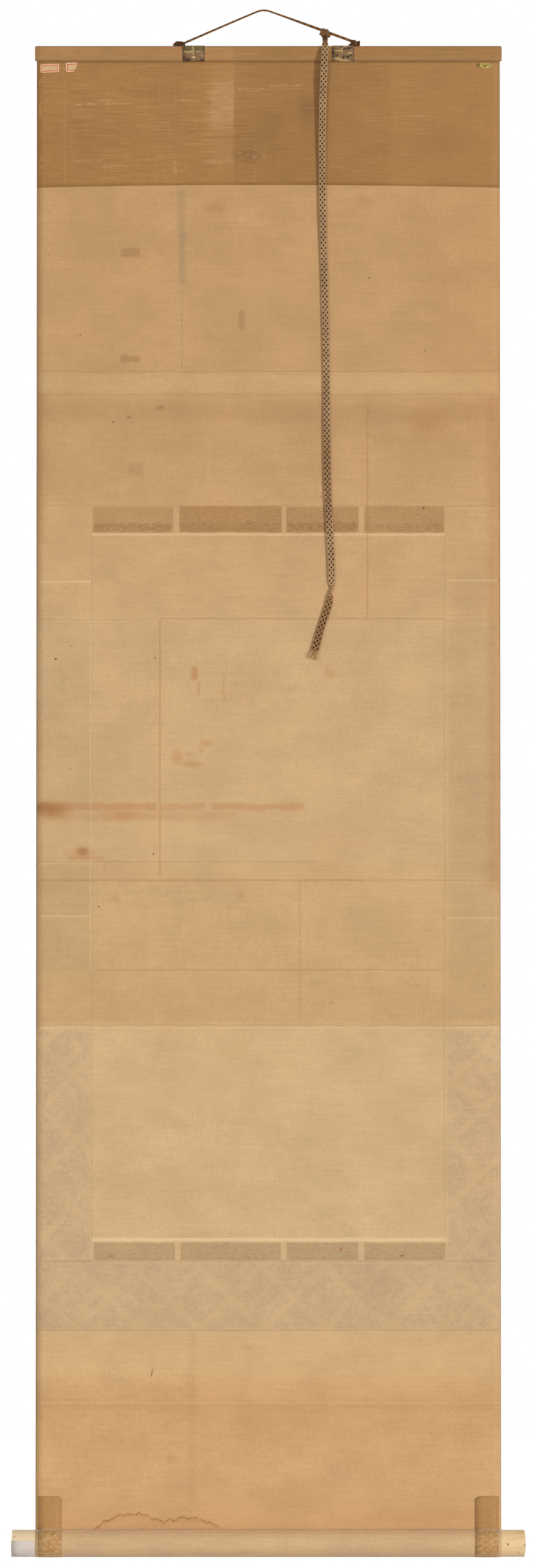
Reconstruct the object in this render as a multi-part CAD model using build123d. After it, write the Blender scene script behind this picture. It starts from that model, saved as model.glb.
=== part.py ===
from build123d import *

import os
from math import asin, cos, degrees, radians, sin, tan

# A hanging scroll of paper and silk, with its stave, roller and cords, as it hangs.
# Millimetres. X runs along the stave, -Y is the back of the scroll, +Y its picture side, +Z up.
# The origin is the hanging point, the middle of the cord where it lies over its hook.

# Sheet: thickness of each layer, widths at the stave and at the roller
PAPER_THICKNESS = 0.35
SILK_THICKNESS = 0.25
COVER_THICKNESS = 0.20
SHEET_WIDTH_TOP = 545.0
SHEET_WIDTH_BOTTOM = 548.5
MIDDLE_X = 6.5  # the scroll's middle lies this far to the right of the hanging point

# Heights on the sheet, in order from the seam under the stave down to the roller
SEAM_DROP = 60.3  # from the hanging point down to the seam
TOP_SILK_HEIGHT = 392.0
BORDER_TOP_HEIGHT = 131.4
UPPER_STRIP_HEIGHT = 33.0
PICTURE_HEIGHT = 833.6
LOWER_STRIP_HEIGHT = 23.7
BORDER_BOTTOM_HEIGHT = 81.1
BOTTOM_SILK_HEIGHT = 235.3
COVER_HEIGHT = 148.6
PICTURE_WIDTH = 415.4
STRIP_SEAMS = (99.2, 225.8, 317.0)  # joins in an accent strip, from its left end
PAPER_JOINS = (365.5, 656.5, 943.5, 1136.0, 1495.0)  # joins of the backing, below the seam

# Stave: half-moon section, flat at the back, leaning as its eyelets carry it
STAVE_HEIGHT = 17.6
STAVE_DEPTH = 8.5
STAVE_EDGE_RADIUS = 1.0
STAVE_LEAN = 14.0
STAVE_FLARE = 1.3  # each end of the stave reaches this much further at its top
STAVE_CORNER_RADIUS = 1.5

# Roller and the knobs on its tenons
ROLLER_DIAMETER = 31.4
KNOB_DIAMETER = 31.8
KNOB_LENGTH = 28.7
KNOB_CROWN = 1.0
KNOB_CROWN_DIAMETER = 17.0  # of the flat middle of its end
KNOB_EDGE = 1.2  # rounding of the end's rim, made as two flats
TENON_DIAMETER = 15.0
TENON_LENGTH = 17.0
TENON_CHAMFER = 0.8
SOCKET_CLEARANCE = 0.1
SOCKET_END_GAP = 0.5

# Streamers, the two free strips that hang down the picture side
STREAMER_WIDTH = 26.0
STREAMER_THICKNESS = 0.5
STREAMER_FROM_MIDDLE = 88.0
STREAMER_END_GAP = 4.0  # above the lower edge of the top silk

# Eyelets and their washers
EYELET_WIRE = 1.1
EYELET_RING_DIAMETER = 5.4
EYELET_SHANK_DEPTH = 6.0
EYELET_FROM_STREAMER = 3.0
WASHER_DIAMETER = 5.0
WASHER_THICKNESS = 0.5
WASHER_CHAMFER = 0.25

# Hanging cord and the knots that hold it in the eyelets
HANGING_CORD_DIAMETER = 2.7
CORD_SIDES = 12  # of the round cord and of each knot
HOOK_BEND_RADIUS = 13.0
HANGING_CORD_ROUTE = [(-92.0, 0.0, -38.4), (0.6, 0.0, 1.0), (104.5, 0.0, -36.3)]
LEFT_KNOT_LENGTH = 17.2
LEFT_KNOT_DIAMETER = 5.2
LEFT_KNOT_X = -0.5  # middle of the knot from its eyelet
RIGHT_KNOT_LENGTH = 15.4
RIGHT_KNOT_DIAMETER = 7.4
RIGHT_KNOT_X = -2.7
KNOT_LIFT = 0.1  # above what it lies on

# Winding cord, the flat braid that ties the rolled scroll, and its hitch on the hanging cord
WINDING_CORD_WIDTH = 9.0
WINDING_CORD_THICKNESS = 2.6
HITCH_X = 73.2
HITCH_LENGTH = 11.8
HITCH_DIAMETER = 11.2
WINDING_CORD_ROUTE = [
    (73.3, -3.4, -28.6),
    (73.5, -9.2, -43.0),
    (72.5, -9.8, -61.5),
    (70.9, -8.2, -93.0),
    (69.8, -5.0, -141.0),
    (69.8, -2.5, -203.0),
    (71.6, -1.9, -283.0),
    (74.2, -2.0, -372.0),
    (75.2, -1.9, -470.0),
    (75.9, -2.0, -560.0),
    (79.0, -2.0, -616.0),
    (81.2, -2.1, -660.0),
    (80.6, -2.4, -688.0),
    (75.0, -2.3, -709.0),
    (67.5, -2.1, -730.0),
    (64.2, -2.0, -744.0),
    (60.2, -2.0, -758.0),
]
WINDING_CORD_CHAMFER = 0.8
RUN_SHARE = 0.45  # of the shorter run, which each bend takes

# Outlines of the knots from left to right, in shares of their length and of their radius
LEFT_KNOT_SHAPE = [(-0.5, 0.3), (-0.18, 1.0), (0.34, 1.0), (0.5, 0.6)]
RIGHT_KNOT_SHAPE = [(-0.5, 0.5), (-0.3, 1.0), (0.26, 1.0), (0.5, 0.4)]
HITCH_SHAPE = [
    (-0.5, 0.66), (-0.4, 0.96), (-0.2, 0.96), (-0.12, 0.8), (0.0, 1.0), (0.12, 0.8), (0.2, 0.96),
    (0.4, 0.96), (0.5, 0.66),
]

# Reinforcing patches at the roller's ends
PATCH_THICKNESS = 0.2
PATCH_PASTE = 0.05  # under it, round the roller
PATCH_WIDTH = 28.0
PATCH_INSET = 3.0
PATCH_RISE = 39.0
PATCH_CORNER_RADIUS = 4.0

# Paper labels and a folded slip: sizes, and where the middle of each lies
LABEL_THICKNESS = 0.12
LABEL_WIDTH = 21.7
LABEL_HEIGHT = 10.0
LABEL_CORNER_RADIUS = 1.2
LABEL_FROM_EDGE = 15.0
LABEL_BELOW_SEAM = 8.0
LABEL_TILT = 1.5
TORN_LABEL_WIDTH = 13.4
TORN_LABEL_HEIGHT = 10.6
TORN_LABEL_FROM_EDGE = 41.0
TORN_LABEL_BELOW_SEAM = 6.8
SLIP_LENGTH = 19.4
SLIP_HEIGHT = 6.6
SLIP_THICKNESS = 0.4
SLIP_FROM_EDGE = 17.6
SLIP_BELOW_SEAM = 4.6
KNOB_LABEL_WIDTH = 27.8
KNOB_LABEL_INSET = 0.5
KNOB_LABEL_TOP_ANGLE = 13.5  # on the knob's back, above the level of its axis
KNOB_LABEL_LOW_ANGLE = -95.0

# Levels and depths that follow from the sizes
SEAM_Z = -SEAM_DROP
BORDER_TOP_Z = SEAM_Z - TOP_SILK_HEIGHT
UPPER_STRIP_Z = BORDER_TOP_Z - BORDER_TOP_HEIGHT
PICTURE_Z = UPPER_STRIP_Z - UPPER_STRIP_HEIGHT
LOWER_STRIP_Z = PICTURE_Z - PICTURE_HEIGHT
BORDER_BOTTOM_Z = LOWER_STRIP_Z - LOWER_STRIP_HEIGHT
BOTTOM_SILK_Z = BORDER_BOTTOM_Z - BORDER_BOTTOM_HEIGHT
CREASE_Z = BOTTOM_SILK_Z - BOTTOM_SILK_HEIGHT

PAPER_BACK_Y = -PAPER_THICKNESS / 2
PAPER_FRONT_Y = PAPER_THICKNESS / 2
SILK_FRONT_Y = PAPER_FRONT_Y + SILK_THICKNESS
WRAP = PAPER_THICKNESS + SILK_THICKNESS

LEAN = radians(STAVE_LEAN)
STAVE_FOOT_Y = WRAP * cos(LEAN) + PAPER_BACK_Y - SILK_THICKNESS
STAVE_FOOT_Z = SEAM_Z + WRAP * sin(LEAN)
BOW_RADIUS = (STAVE_HEIGHT**2 / 4 + STAVE_DEPTH**2) / (2 * STAVE_DEPTH)
BOW_INSET = STAVE_DEPTH - BOW_RADIUS
BOW_Y = STAVE_FOOT_Y + BOW_INSET * cos(LEAN) - STAVE_HEIGHT / 2 * sin(LEAN)
BOW_Z = STAVE_FOOT_Z + BOW_INSET * sin(LEAN) + STAVE_HEIGHT / 2 * cos(LEAN)
WRAPPED_TOP_Z = BOW_Z + BOW_RADIUS + WRAP
NECK_Z = STAVE_FOOT_Z + STAVE_EDGE_RADIUS  # the sheet runs this high to meet its wrap

ROLLER_RADIUS = ROLLER_DIAMETER / 2
WRAPPED_RADIUS = ROLLER_RADIUS + WRAP
ROLLER_Z = CREASE_Z - WRAPPED_RADIUS

RING_REACH = BOW_RADIUS + WRAP + WASHER_THICKNESS + EYELET_RING_DIAMETER / 2
EYELET_LEAN = asin(-BOW_Y / RING_REACH)  # this puts each ring right above the sheet
EYELET_FROM_MIDDLE = STREAMER_FROM_MIDDLE + STREAMER_WIDTH / 2 + EYELET_FROM_STREAMER
KNOT_FLOOR_Z = WRAPPED_TOP_Z + STREAMER_THICKNESS + KNOT_LIFT

REACH = 100.0  # of a cutting shape past what it cuts


def half_width(z):
    """Half the sheet's width at a level. The sheet widens evenly towards the roller."""
    share = (SEAM_Z - z) / (SEAM_Z - CREASE_Z)
    return (SHEET_WIDTH_TOP + (SHEET_WIDTH_BOTTOM - SHEET_WIDTH_TOP) * share) / 2


def layer(outline, back_y, thickness):
    """A flat layer from an outline in X and Z, with X from the scroll's middle."""
    flat = extrude(Plane.XZ * outline, amount=thickness, dir=(0, 1, 0))
    return Pos(MIDDLE_X, back_y, 0) * flat


def band(high, low, back_y, thickness, left=None, right=None):
    """A flat layer between two levels, and out to the sheet's edges where no side is given."""
    corners = [
        (-half_width(high) if left is None else left, high),
        (half_width(high) if right is None else right, high),
        (half_width(low) if right is None else right, low),
        (-half_width(low) if left is None else left, low),
    ]
    return layer(Polygon(*corners, align=None), back_y, thickness)


def along_x(section, length):
    """A section in Y and Z, made as long as given about the scroll's middle."""
    return Pos(MIDDLE_X, 0, 0) * extrude(Plane.YZ * section, amount=length / 2, both=True)


def rectangle(low_y, high_y, low_z, high_z):
    """A rectangle in Y and Z between the given sides."""
    middle = Pos((low_y + high_y) / 2, (low_z + high_z) / 2)
    return middle * Rectangle(high_y - low_y, high_z - low_z)


def stave_section(wrap=0.0):
    """The stave's half-moon as it leans, grown by a wrap."""
    flat = Line((0, 0), (0, STAVE_HEIGHT))
    bow = ThreePointArc((0, STAVE_HEIGHT), (STAVE_DEPTH, STAVE_HEIGHT / 2), (0, 0))
    half_moon = make_face(flat + bow)
    half_moon = fillet(half_moon.vertices(), STAVE_EDGE_RADIUS)
    if wrap:
        half_moon = offset(half_moon, amount=wrap, kind=Kind.ARC)
    return Pos(STAVE_FOOT_Y, STAVE_FOOT_Z) * Rot(Z=STAVE_LEAN) * half_moon


def stave_length(cloth=0.0):
    """All that lies between the stave's flared ends, grown by the cloth over them."""
    foot = SHEET_WIDTH_TOP / 2 - SILK_THICKNESS + cloth
    top = foot + STAVE_FLARE
    high = WRAPPED_TOP_Z + cloth
    outline = Polygon(
        (-top, high), (-foot, SEAM_Z), (-foot, SEAM_Z - REACH),
        (foot, SEAM_Z - REACH), (foot, SEAM_Z), (top, high),
        align=None,
    )
    outline = fillet(outline.vertices().sort_by(Axis.Y)[-2:], STAVE_CORNER_RADIUS)
    return Pos(MIDDLE_X, 0, 0) * extrude(Plane.XZ * outline, amount=REACH, both=True)


def stave_body(wrap=0.0, cloth=0.0):
    """The stave, or the outside of what wraps it."""
    return along_x(stave_section(wrap), SHEET_WIDTH_TOP + REACH) & stave_length(cloth)


def eyelet_frame(side):
    """Where an eyelet stands: Z along its shank, from the axis of the stave's bow."""
    x = MIDDLE_X + side * EYELET_FROM_MIDDLE
    return Pos(x, BOW_Y, BOW_Z) * Rot(X=-degrees(EYELET_LEAN))


def shank():
    """An eyelet's shank, from its ring down into the stave."""
    top = RING_REACH - EYELET_RING_DIAMETER / 2 + EYELET_WIRE / 2
    foot = BOW_RADIUS + WRAP - EYELET_SHANK_DEPTH
    column = Cylinder(EYELET_WIRE / 2, top - foot, align=(Align.CENTER, Align.CENTER, Align.MIN))
    return Pos(0, 0, foot) * column


def eyelet():
    """A ring of eight-sided wire on its shank, open along X for the cord."""
    ring_radius = (EYELET_RING_DIAMETER - EYELET_WIRE) / 2
    wire = RegularPolygon(EYELET_WIRE / 2, 8, major_radius=False, rotation=22.5)
    return Pos(0, 0, RING_REACH) * revolve(Pos(0, ring_radius) * wire, Axis.X) + shank()


def eyelet_room():
    """The room that an eyelet's ring takes in the knot drawn up round it."""
    outer = EYELET_RING_DIAMETER / 2
    room = RegularPolygon(outer, CORD_SIDES, major_radius=False)
    room -= RegularPolygon(outer - EYELET_WIRE, CORD_SIDES)
    return Pos(0, 0, RING_REACH) * extrude(Plane.YZ * room, amount=EYELET_WIRE / 2, both=True)


def washer():
    """The round plate under an eyelet's ring."""
    plate = Cylinder(WASHER_DIAMETER / 2, WASHER_THICKNESS)
    plate = chamfer(plate.faces().sort_by(Axis.Z)[-1].edges(), WASHER_CHAMFER)
    return Pos(0, 0, BOW_RADIUS + WRAP + WASHER_THICKNESS / 2) * plate - shank()


def shank_holes():
    """Both eyelets' shanks, to be cut from what they pass through."""
    return eyelet_frame(-1) * shank() + eyelet_frame(1) * shank()


def roller_ring(inner, outer):
    """The section of a turn round the roller."""
    return Pos(0, ROLLER_Z) * (Circle(outer) - Circle(inner))


def backing_papers():
    """The backing, from the paper round the stave to the paper round the roller."""
    levels = [SEAM_Z, *(SEAM_Z - join for join in PAPER_JOINS), CREASE_Z]
    papers = [
        band(high, low, PAPER_BACK_Y, PAPER_THICKNESS) for high, low in zip(levels, levels[1:])
    ]
    neck = rectangle(PAPER_BACK_Y, PAPER_FRONT_Y, SEAM_Z, NECK_Z)
    pocket = stave_body(PAPER_THICKNESS) + along_x(neck, SHEET_WIDTH_TOP)
    papers[0] = papers[0] + pocket - stave_body() - shank_holes()

    turn = roller_ring(ROLLER_RADIUS, ROLLER_RADIUS + PAPER_THICKNESS)
    foot = rectangle(PAPER_BACK_Y, PAPER_FRONT_Y, ROLLER_Z + ROLLER_RADIUS, CREASE_Z)
    foot -= Pos(0, ROLLER_Z) * Circle(ROLLER_RADIUS)
    papers[-1] = papers[-1] + along_x(turn + foot, SHEET_WIDTH_BOTTOM)
    return papers


def top_silk():
    """The top silk, over the stave and down to the seam on the back, its ends folded in."""
    wrap = stave_body(WRAP, SILK_THICKNESS) - stave_body(PAPER_THICKNESS)
    below_flap = rectangle(-REACH, PAPER_FRONT_Y, SEAM_Z - REACH, SEAM_Z)
    wrap -= along_x(below_flap, SHEET_WIDTH_TOP + REACH)
    neck = rectangle(PAPER_FRONT_Y, SILK_FRONT_Y, SEAM_Z, NECK_Z)
    neck -= stave_section(PAPER_THICKNESS)
    drop = band(SEAM_Z, BORDER_TOP_Z, PAPER_FRONT_Y, SILK_THICKNESS)
    paper_neck = rectangle(PAPER_BACK_Y, PAPER_FRONT_Y, SEAM_Z, NECK_Z)
    silk = wrap + along_x(neck, SHEET_WIDTH_TOP) + drop
    return silk - along_x(paper_neck, SHEET_WIDTH_TOP + REACH) - shank_holes()


def bottom_silk():
    """The bottom silk, round the roller and up to the crease on the back."""
    turn = roller_ring(ROLLER_RADIUS + PAPER_THICKNESS, WRAPPED_RADIUS)
    turn += rectangle(PAPER_FRONT_Y, SILK_FRONT_Y, ROLLER_Z + ROLLER_RADIUS, CREASE_Z)
    turn -= Pos(0, ROLLER_Z) * Circle(ROLLER_RADIUS + PAPER_THICKNESS)
    turn -= rectangle(PAPER_BACK_Y, PAPER_FRONT_Y, ROLLER_Z, CREASE_Z + 1)
    drop = band(BOTTOM_SILK_Z, CREASE_Z, PAPER_FRONT_Y, SILK_THICKNESS)
    return drop + along_x(turn, SHEET_WIDTH_BOTTOM)


def front_silk(high, low, left=None, right=None):
    """A piece of silk or the picture's ground on the front of the backing."""
    return band(high, low, PAPER_FRONT_Y, SILK_THICKNESS, left, right)


def accent_strip(name, high, low):
    """An accent strip across the picture's width, pieced from four lengths of cloth."""
    left = -PICTURE_WIDTH / 2
    ends = [left, *(left + seam for seam in STRIP_SEAMS), left + PICTURE_WIDTH]
    return {
        f"{name}_{number}": front_silk(high, low, start, end)
        for number, (start, end) in enumerate(zip(ends, ends[1:]), 1)
    }


def front_pieces():
    """The silks and the picture's ground between the top silk and the bottom silk."""
    side = PICTURE_WIDTH / 2
    pieces = {
        "middle_border_top": front_silk(BORDER_TOP_Z, UPPER_STRIP_Z),
        "middle_border_left": front_silk(UPPER_STRIP_Z, BORDER_BOTTOM_Z, right=-side),
        "middle_border_right": front_silk(UPPER_STRIP_Z, BORDER_BOTTOM_Z, left=side),
        "middle_border_bottom": front_silk(BORDER_BOTTOM_Z, BOTTOM_SILK_Z),
        "picture_panel": front_silk(PICTURE_Z, LOWER_STRIP_Z, -side, side),
    }
    pieces |= accent_strip("upper_accent_strip", UPPER_STRIP_Z, PICTURE_Z)
    pieces |= accent_strip("lower_accent_strip", LOWER_STRIP_Z, BORDER_BOTTOM_Z)
    return pieces


def streamer(side):
    """A streamer: pasted over the stave's back and top, then hanging free in front."""
    front = BOW_Y + BOW_RADIUS + WRAP
    inside = BOW_Y + BOW_RADIUS / 2
    over = stave_section(WRAP + STREAMER_THICKNESS) - stave_section(WRAP)
    away = Polygon(
        (inside, BOW_Z), (REACH, BOW_Z), (REACH, SEAM_Z - REACH), (-REACH, SEAM_Z - REACH),
        (-REACH, SEAM_Z), (PAPER_BACK_Y, SEAM_Z), (PAPER_BACK_Y, NECK_Z),
        align=None,
    )
    hang = rectangle(front, front + STREAMER_THICKNESS, BORDER_TOP_Z + STREAMER_END_GAP, BOW_Z)
    strip = extrude(Plane.YZ * (over - away + hang), amount=STREAMER_WIDTH / 2, both=True)
    return Pos(MIDDLE_X + side * STREAMER_FROM_MIDDLE, 0, 0) * strip


def roller_rod():
    """The roller, with a tenon at each end for its knob."""
    reach = SHEET_WIDTH_BOTTOM / 2
    tenon_radius = TENON_DIAMETER / 2
    outline = Polygon(
        (0, 0), (0, ROLLER_RADIUS), (reach, ROLLER_RADIUS), (reach, tenon_radius),
        (reach + TENON_LENGTH - TENON_CHAMFER, tenon_radius),
        (reach + TENON_LENGTH, tenon_radius - TENON_CHAMFER), (reach + TENON_LENGTH, 0),
        align=None,
    )
    half = revolve(outline, Axis.X)
    return Pos(MIDDLE_X, 0, ROLLER_Z) * (half + mirror(half, Plane.YZ))


def knob(side):
    """A turned knob with a crowned end, bored for the roller's tenon."""
    radius = KNOB_DIAMETER / 2
    bore = TENON_DIAMETER / 2 + SOCKET_CLEARANCE
    bottom = TENON_LENGTH + SOCKET_END_GAP
    rim = KNOB_LENGTH - KNOB_CROWN
    eased = KNOB_EDGE * (1 - cos(radians(45)))
    outline = Polygon(
        (bottom, 0), (bottom, bore), (0, bore), (0, radius), (rim - KNOB_EDGE, radius),
        (rim - eased, radius - eased), (rim, radius - KNOB_EDGE),
        (KNOB_LENGTH, KNOB_CROWN_DIAMETER / 2), (KNOB_LENGTH, 0),
        align=None,
    )
    turned = revolve(outline, Axis.X)
    turned = turned if side > 0 else mirror(turned, Plane.YZ)
    return Pos(MIDDLE_X + side * SHEET_WIDTH_BOTTOM / 2, 0, ROLLER_Z) * turned


def knot(length, diameter, shape):
    """A drawn-up knot as one lump about X that shows the same outline from every side."""
    upper = [(share * length, height * diameter / 2) for share, height in shape]
    lower = [(x, -y) for x, y in reversed(upper)]
    slab = extrude(Polygon(*upper, *lower, align=None), amount=diameter, both=True)
    lump = slab
    for turn in range(1, CORD_SIDES // 2):
        lump &= Rot(X=turn * 360 / CORD_SIDES) * slab
    return lump


def cord_path(route, radii):
    """Straight runs through the route's points, joined by tangent arcs."""
    return FilletPolyline(*route, radius=radii)


def bend_radii(route):
    """For each inner point of a route, the largest bend that its two runs allow."""
    points = [Vector(*point) for point in route]
    radii = []
    for before, here, after in zip(points, points[1:], points[2:]):
        turn = radians((here - before).get_angle(after - here))
        shorter = min((here - before).length, (after - here).length)
        radii.append(RUN_SHARE * shorter / tan(turn / 2))
    return radii


def swept(section, path):
    """A cord's section carried along its path, its width along X at the start."""
    start = Plane(origin=path @ 0, x_dir=(1, 0, 0), z_dir=path % 0)
    return sweep(start * section, path=path)


def cord_section():
    """The hanging cord's section, nearly round."""
    return RegularPolygon(HANGING_CORD_DIAMETER / 2, CORD_SIDES)


def hanging_cord():
    """The cord that the scroll hangs by, drawn straight from its hook to each eyelet."""
    path = cord_path(HANGING_CORD_ROUTE, [HOOK_BEND_RADIUS])
    start = Plane(origin=path @ 0, z_dir=path % 0)
    return sweep(start * cord_section(), path=path), path


def braid_section():
    """The flat braid's section, with its edges drawn in."""
    flat = Rectangle(WINDING_CORD_WIDTH, WINDING_CORD_THICKNESS)
    return chamfer(flat.vertices(), WINDING_CORD_CHAMFER)


def winding_cord():
    """The flat braid, from its hitch over the stave's edge and down the back."""
    radii = bend_radii(WINDING_CORD_ROUTE)
    print("winding cord radii", [round(radius, 1) for radius in radii])
    path = cord_path(WINDING_CORD_ROUTE, radii)
    return swept(braid_section(), path), path


def hitch(cord, tail):
    """The winding cord's turns round the hanging cord."""
    top, foot = (Vector(*point) for point in HANGING_CORD_ROUTE[1:])
    share = (HITCH_X - top.X) / (foot.X - top.X)
    middle = top + (foot - top) * share
    slope = degrees(asin((foot - top).normalized().Z))
    lump = knot(HITCH_LENGTH, HITCH_DIAMETER, HITCH_SHAPE)
    return Pos(middle) * Rot(Y=-slope) * lump - cord - tail


def end_knot(side, length, diameter, shape, shift, cord):
    """The knot that holds an end of the hanging cord in its eyelet."""
    x = MIDDLE_X + side * EYELET_FROM_MIDDLE + shift
    lump = Pos(x, 0, KNOT_FLOOR_Z + diameter / 2) * knot(length, diameter, shape)
    return lump - cord - eyelet_frame(side) * eyelet_room()


def label():
    """The whole label near the sheet's left edge."""
    outline = fillet(Rectangle(LABEL_WIDTH, LABEL_HEIGHT).vertices(), LABEL_CORNER_RADIUS)
    x = LABEL_FROM_EDGE - SHEET_WIDTH_TOP / 2
    outline = Pos(x, SEAM_Z - LABEL_BELOW_SEAM) * Rot(Z=LABEL_TILT) * outline
    return layer(outline, PAPER_BACK_Y - COVER_THICKNESS - LABEL_THICKNESS, LABEL_THICKNESS)


def torn_label():
    """The label with its right side torn away."""
    wide, high = TORN_LABEL_WIDTH / 2, TORN_LABEL_HEIGHT / 2
    tear = [
        (0.72, 1.0), (0.80, 0.62), (1.0, 0.44), (0.74, 0.06), (0.82, -0.22), (0.55, -0.48),
        (0.62, -0.78), (0.38, -1.0),
    ]
    corners = [(x * wide, z * high) for x, z in [(-1.0, 0.88), *tear, (-1.0, -0.94)]]
    x = TORN_LABEL_FROM_EDGE - SHEET_WIDTH_TOP / 2
    outline = Pos(x, SEAM_Z - TORN_LABEL_BELOW_SEAM) * Polygon(*corners, align=None)
    return layer(outline, PAPER_BACK_Y - COVER_THICKNESS - LABEL_THICKNESS, LABEL_THICKNESS)


def folded_slip():
    """A narrow folded slip, pointed at both ends, near the sheet's right edge."""
    wide, high = SLIP_LENGTH / 2, SLIP_HEIGHT / 2
    upper = ThreePointArc((-wide, 0), (0, high), (wide, 0))
    lower = ThreePointArc((wide, 0), (0, -high), (-wide, 0))
    x = SHEET_WIDTH_TOP / 2 - SLIP_FROM_EDGE
    outline = Pos(x, SEAM_Z - SLIP_BELOW_SEAM) * make_face(upper + lower)
    return layer(outline, PAPER_BACK_Y - COVER_THICKNESS - SLIP_THICKNESS, SLIP_THICKNESS)


def knob_label():
    """The label bent round the back of the left knob."""
    radius = KNOB_DIAMETER / 2
    turn = KNOB_LABEL_TOP_ANGLE - KNOB_LABEL_LOW_ANGLE
    start = 180.0 - KNOB_LABEL_TOP_ANGLE
    inner = CenterArc((0, 0), radius, start, turn)
    outer = CenterArc((0, 0), radius + LABEL_THICKNESS, start, turn)
    section = make_face(inner + outer + Line(inner @ 0, outer @ 0) + Line(inner @ 1, outer @ 1))
    strip = extrude(Plane.YZ * section, amount=KNOB_LABEL_WIDTH)
    x = MIDDLE_X - SHEET_WIDTH_BOTTOM / 2 - KNOB_LABEL_INSET - KNOB_LABEL_WIDTH
    return Pos(x, 0, ROLLER_Z) * strip


def roller_patch(side):
    """A patch of cloth over the crease and round the roller, near one of its ends."""
    back = PAPER_BACK_Y - PATCH_THICKNESS
    inner = WRAPPED_RADIUS + PATCH_PASTE
    turn = roller_ring(inner, inner + PATCH_THICKNESS)
    turn -= rectangle(PAPER_BACK_Y, REACH, ROLLER_Z, ROLLER_Z + REACH)
    rise = rectangle(back, PAPER_BACK_Y, ROLLER_Z, CREASE_Z + PATCH_RISE)
    rise -= Pos(0, ROLLER_Z) * Circle(inner)
    middle = side * (SHEET_WIDTH_BOTTOM / 2 - PATCH_INSET - PATCH_WIDTH / 2)
    cloth = Pos(middle, 0, 0) * along_x(turn + rise, PATCH_WIDTH)
    low = ROLLER_Z - REACH
    outline = Pos(middle, (CREASE_Z + PATCH_RISE + low) / 2) * Rectangle(
        PATCH_WIDTH, CREASE_Z + PATCH_RISE - low
    )
    inner_top = outline.vertices().sort_by_distance(Vector(0, CREASE_Z + PATCH_RISE))[0]
    outline = fillet(inner_top, PATCH_CORNER_RADIUS)
    return cloth & layer(outline, -REACH, 2 * REACH)


def main():
    """Make every piece and write each to its own file."""
    pieces = {f"backing_paper_{n}": paper for n, paper in enumerate(backing_papers(), 1)}
    pieces |= front_pieces()
    pieces["top_silk"] = top_silk()
    pieces["bottom_silk"] = bottom_silk()
    cover_back = PAPER_BACK_Y - COVER_THICKNESS
    pieces["rear_cover_silk"] = band(SEAM_Z, SEAM_Z - COVER_HEIGHT, cover_back, COVER_THICKNESS)
    pieces["top_stave"] = stave_body() - shank_holes()
    pieces["roller_rod"] = roller_rod()

    cord, cord_line = hanging_cord()
    braid, braid_line = winding_cord()
    pieces["hanging_cord"] = cord
    pieces["winding_cord"] = braid
    pieces["winding_cord_hitch"] = hitch(cord, braid)
    pieces["left_cord_knot"] = end_knot(
        -1, LEFT_KNOT_LENGTH, LEFT_KNOT_DIAMETER, LEFT_KNOT_SHAPE, LEFT_KNOT_X, cord
    )
    pieces["right_cord_knot"] = end_knot(
        1, RIGHT_KNOT_LENGTH, RIGHT_KNOT_DIAMETER, RIGHT_KNOT_SHAPE, RIGHT_KNOT_X, cord
    )
    for side, name in ((-1, "left"), (1, "right")):
        pieces[f"{name}_streamer"] = streamer(side)
        pieces[f"{name}_eyelet"] = eyelet_frame(side) * eyelet()
        pieces[f"{name}_eyelet_washer"] = eyelet_frame(side) * washer()
        pieces[f"{name}_roller_knob"] = knob(side)
        pieces[f"{name}_roller_patch"] = roller_patch(side)
    pieces["corner_label"] = label()
    pieces["torn_label"] = torn_label()
    pieces["folded_slip"] = folded_slip()
    pieces["knob_label"] = knob_label()

    for name, solid, line, area in (
        ("hanging cord", cord, cord_line, cord_section().area),
        ("winding cord", braid, braid_line, braid_section().area),
    ):
        print(name, "length", round(line.length, 1), "volume", round(solid.volume, 1),
              "section times length", round(area * line.length, 1))
    print("roller axis at Z", round(ROLLER_Z, 3), "stave top at Z", round(WRAPPED_TOP_Z, 3))

    os.makedirs("parts", exist_ok=True)
    for name, piece in pieces.items():
        export_step(piece, f"parts/{name}.step")


main()
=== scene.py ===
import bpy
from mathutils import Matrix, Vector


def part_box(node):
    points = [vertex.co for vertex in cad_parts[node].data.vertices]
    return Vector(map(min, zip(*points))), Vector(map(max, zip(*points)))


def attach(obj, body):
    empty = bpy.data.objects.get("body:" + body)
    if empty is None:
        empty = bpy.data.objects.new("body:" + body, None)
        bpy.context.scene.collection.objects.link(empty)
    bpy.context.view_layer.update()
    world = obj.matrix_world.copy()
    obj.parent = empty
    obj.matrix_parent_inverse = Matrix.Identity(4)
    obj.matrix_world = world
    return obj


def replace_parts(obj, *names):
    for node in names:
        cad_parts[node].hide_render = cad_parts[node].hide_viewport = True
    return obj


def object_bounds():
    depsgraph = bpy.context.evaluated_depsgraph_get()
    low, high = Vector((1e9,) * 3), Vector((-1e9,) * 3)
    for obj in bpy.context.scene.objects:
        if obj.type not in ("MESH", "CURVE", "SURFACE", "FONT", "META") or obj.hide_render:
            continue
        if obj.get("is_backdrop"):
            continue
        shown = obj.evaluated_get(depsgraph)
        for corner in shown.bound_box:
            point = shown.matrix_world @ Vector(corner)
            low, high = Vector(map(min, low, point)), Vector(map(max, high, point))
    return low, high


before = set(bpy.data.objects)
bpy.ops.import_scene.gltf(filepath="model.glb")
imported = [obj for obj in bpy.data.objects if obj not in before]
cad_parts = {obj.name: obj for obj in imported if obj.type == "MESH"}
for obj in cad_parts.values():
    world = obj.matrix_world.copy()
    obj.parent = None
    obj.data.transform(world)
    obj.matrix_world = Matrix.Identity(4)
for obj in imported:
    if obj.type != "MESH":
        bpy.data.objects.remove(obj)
CAD_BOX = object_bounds()

import inspect
import itertools
import math

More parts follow.
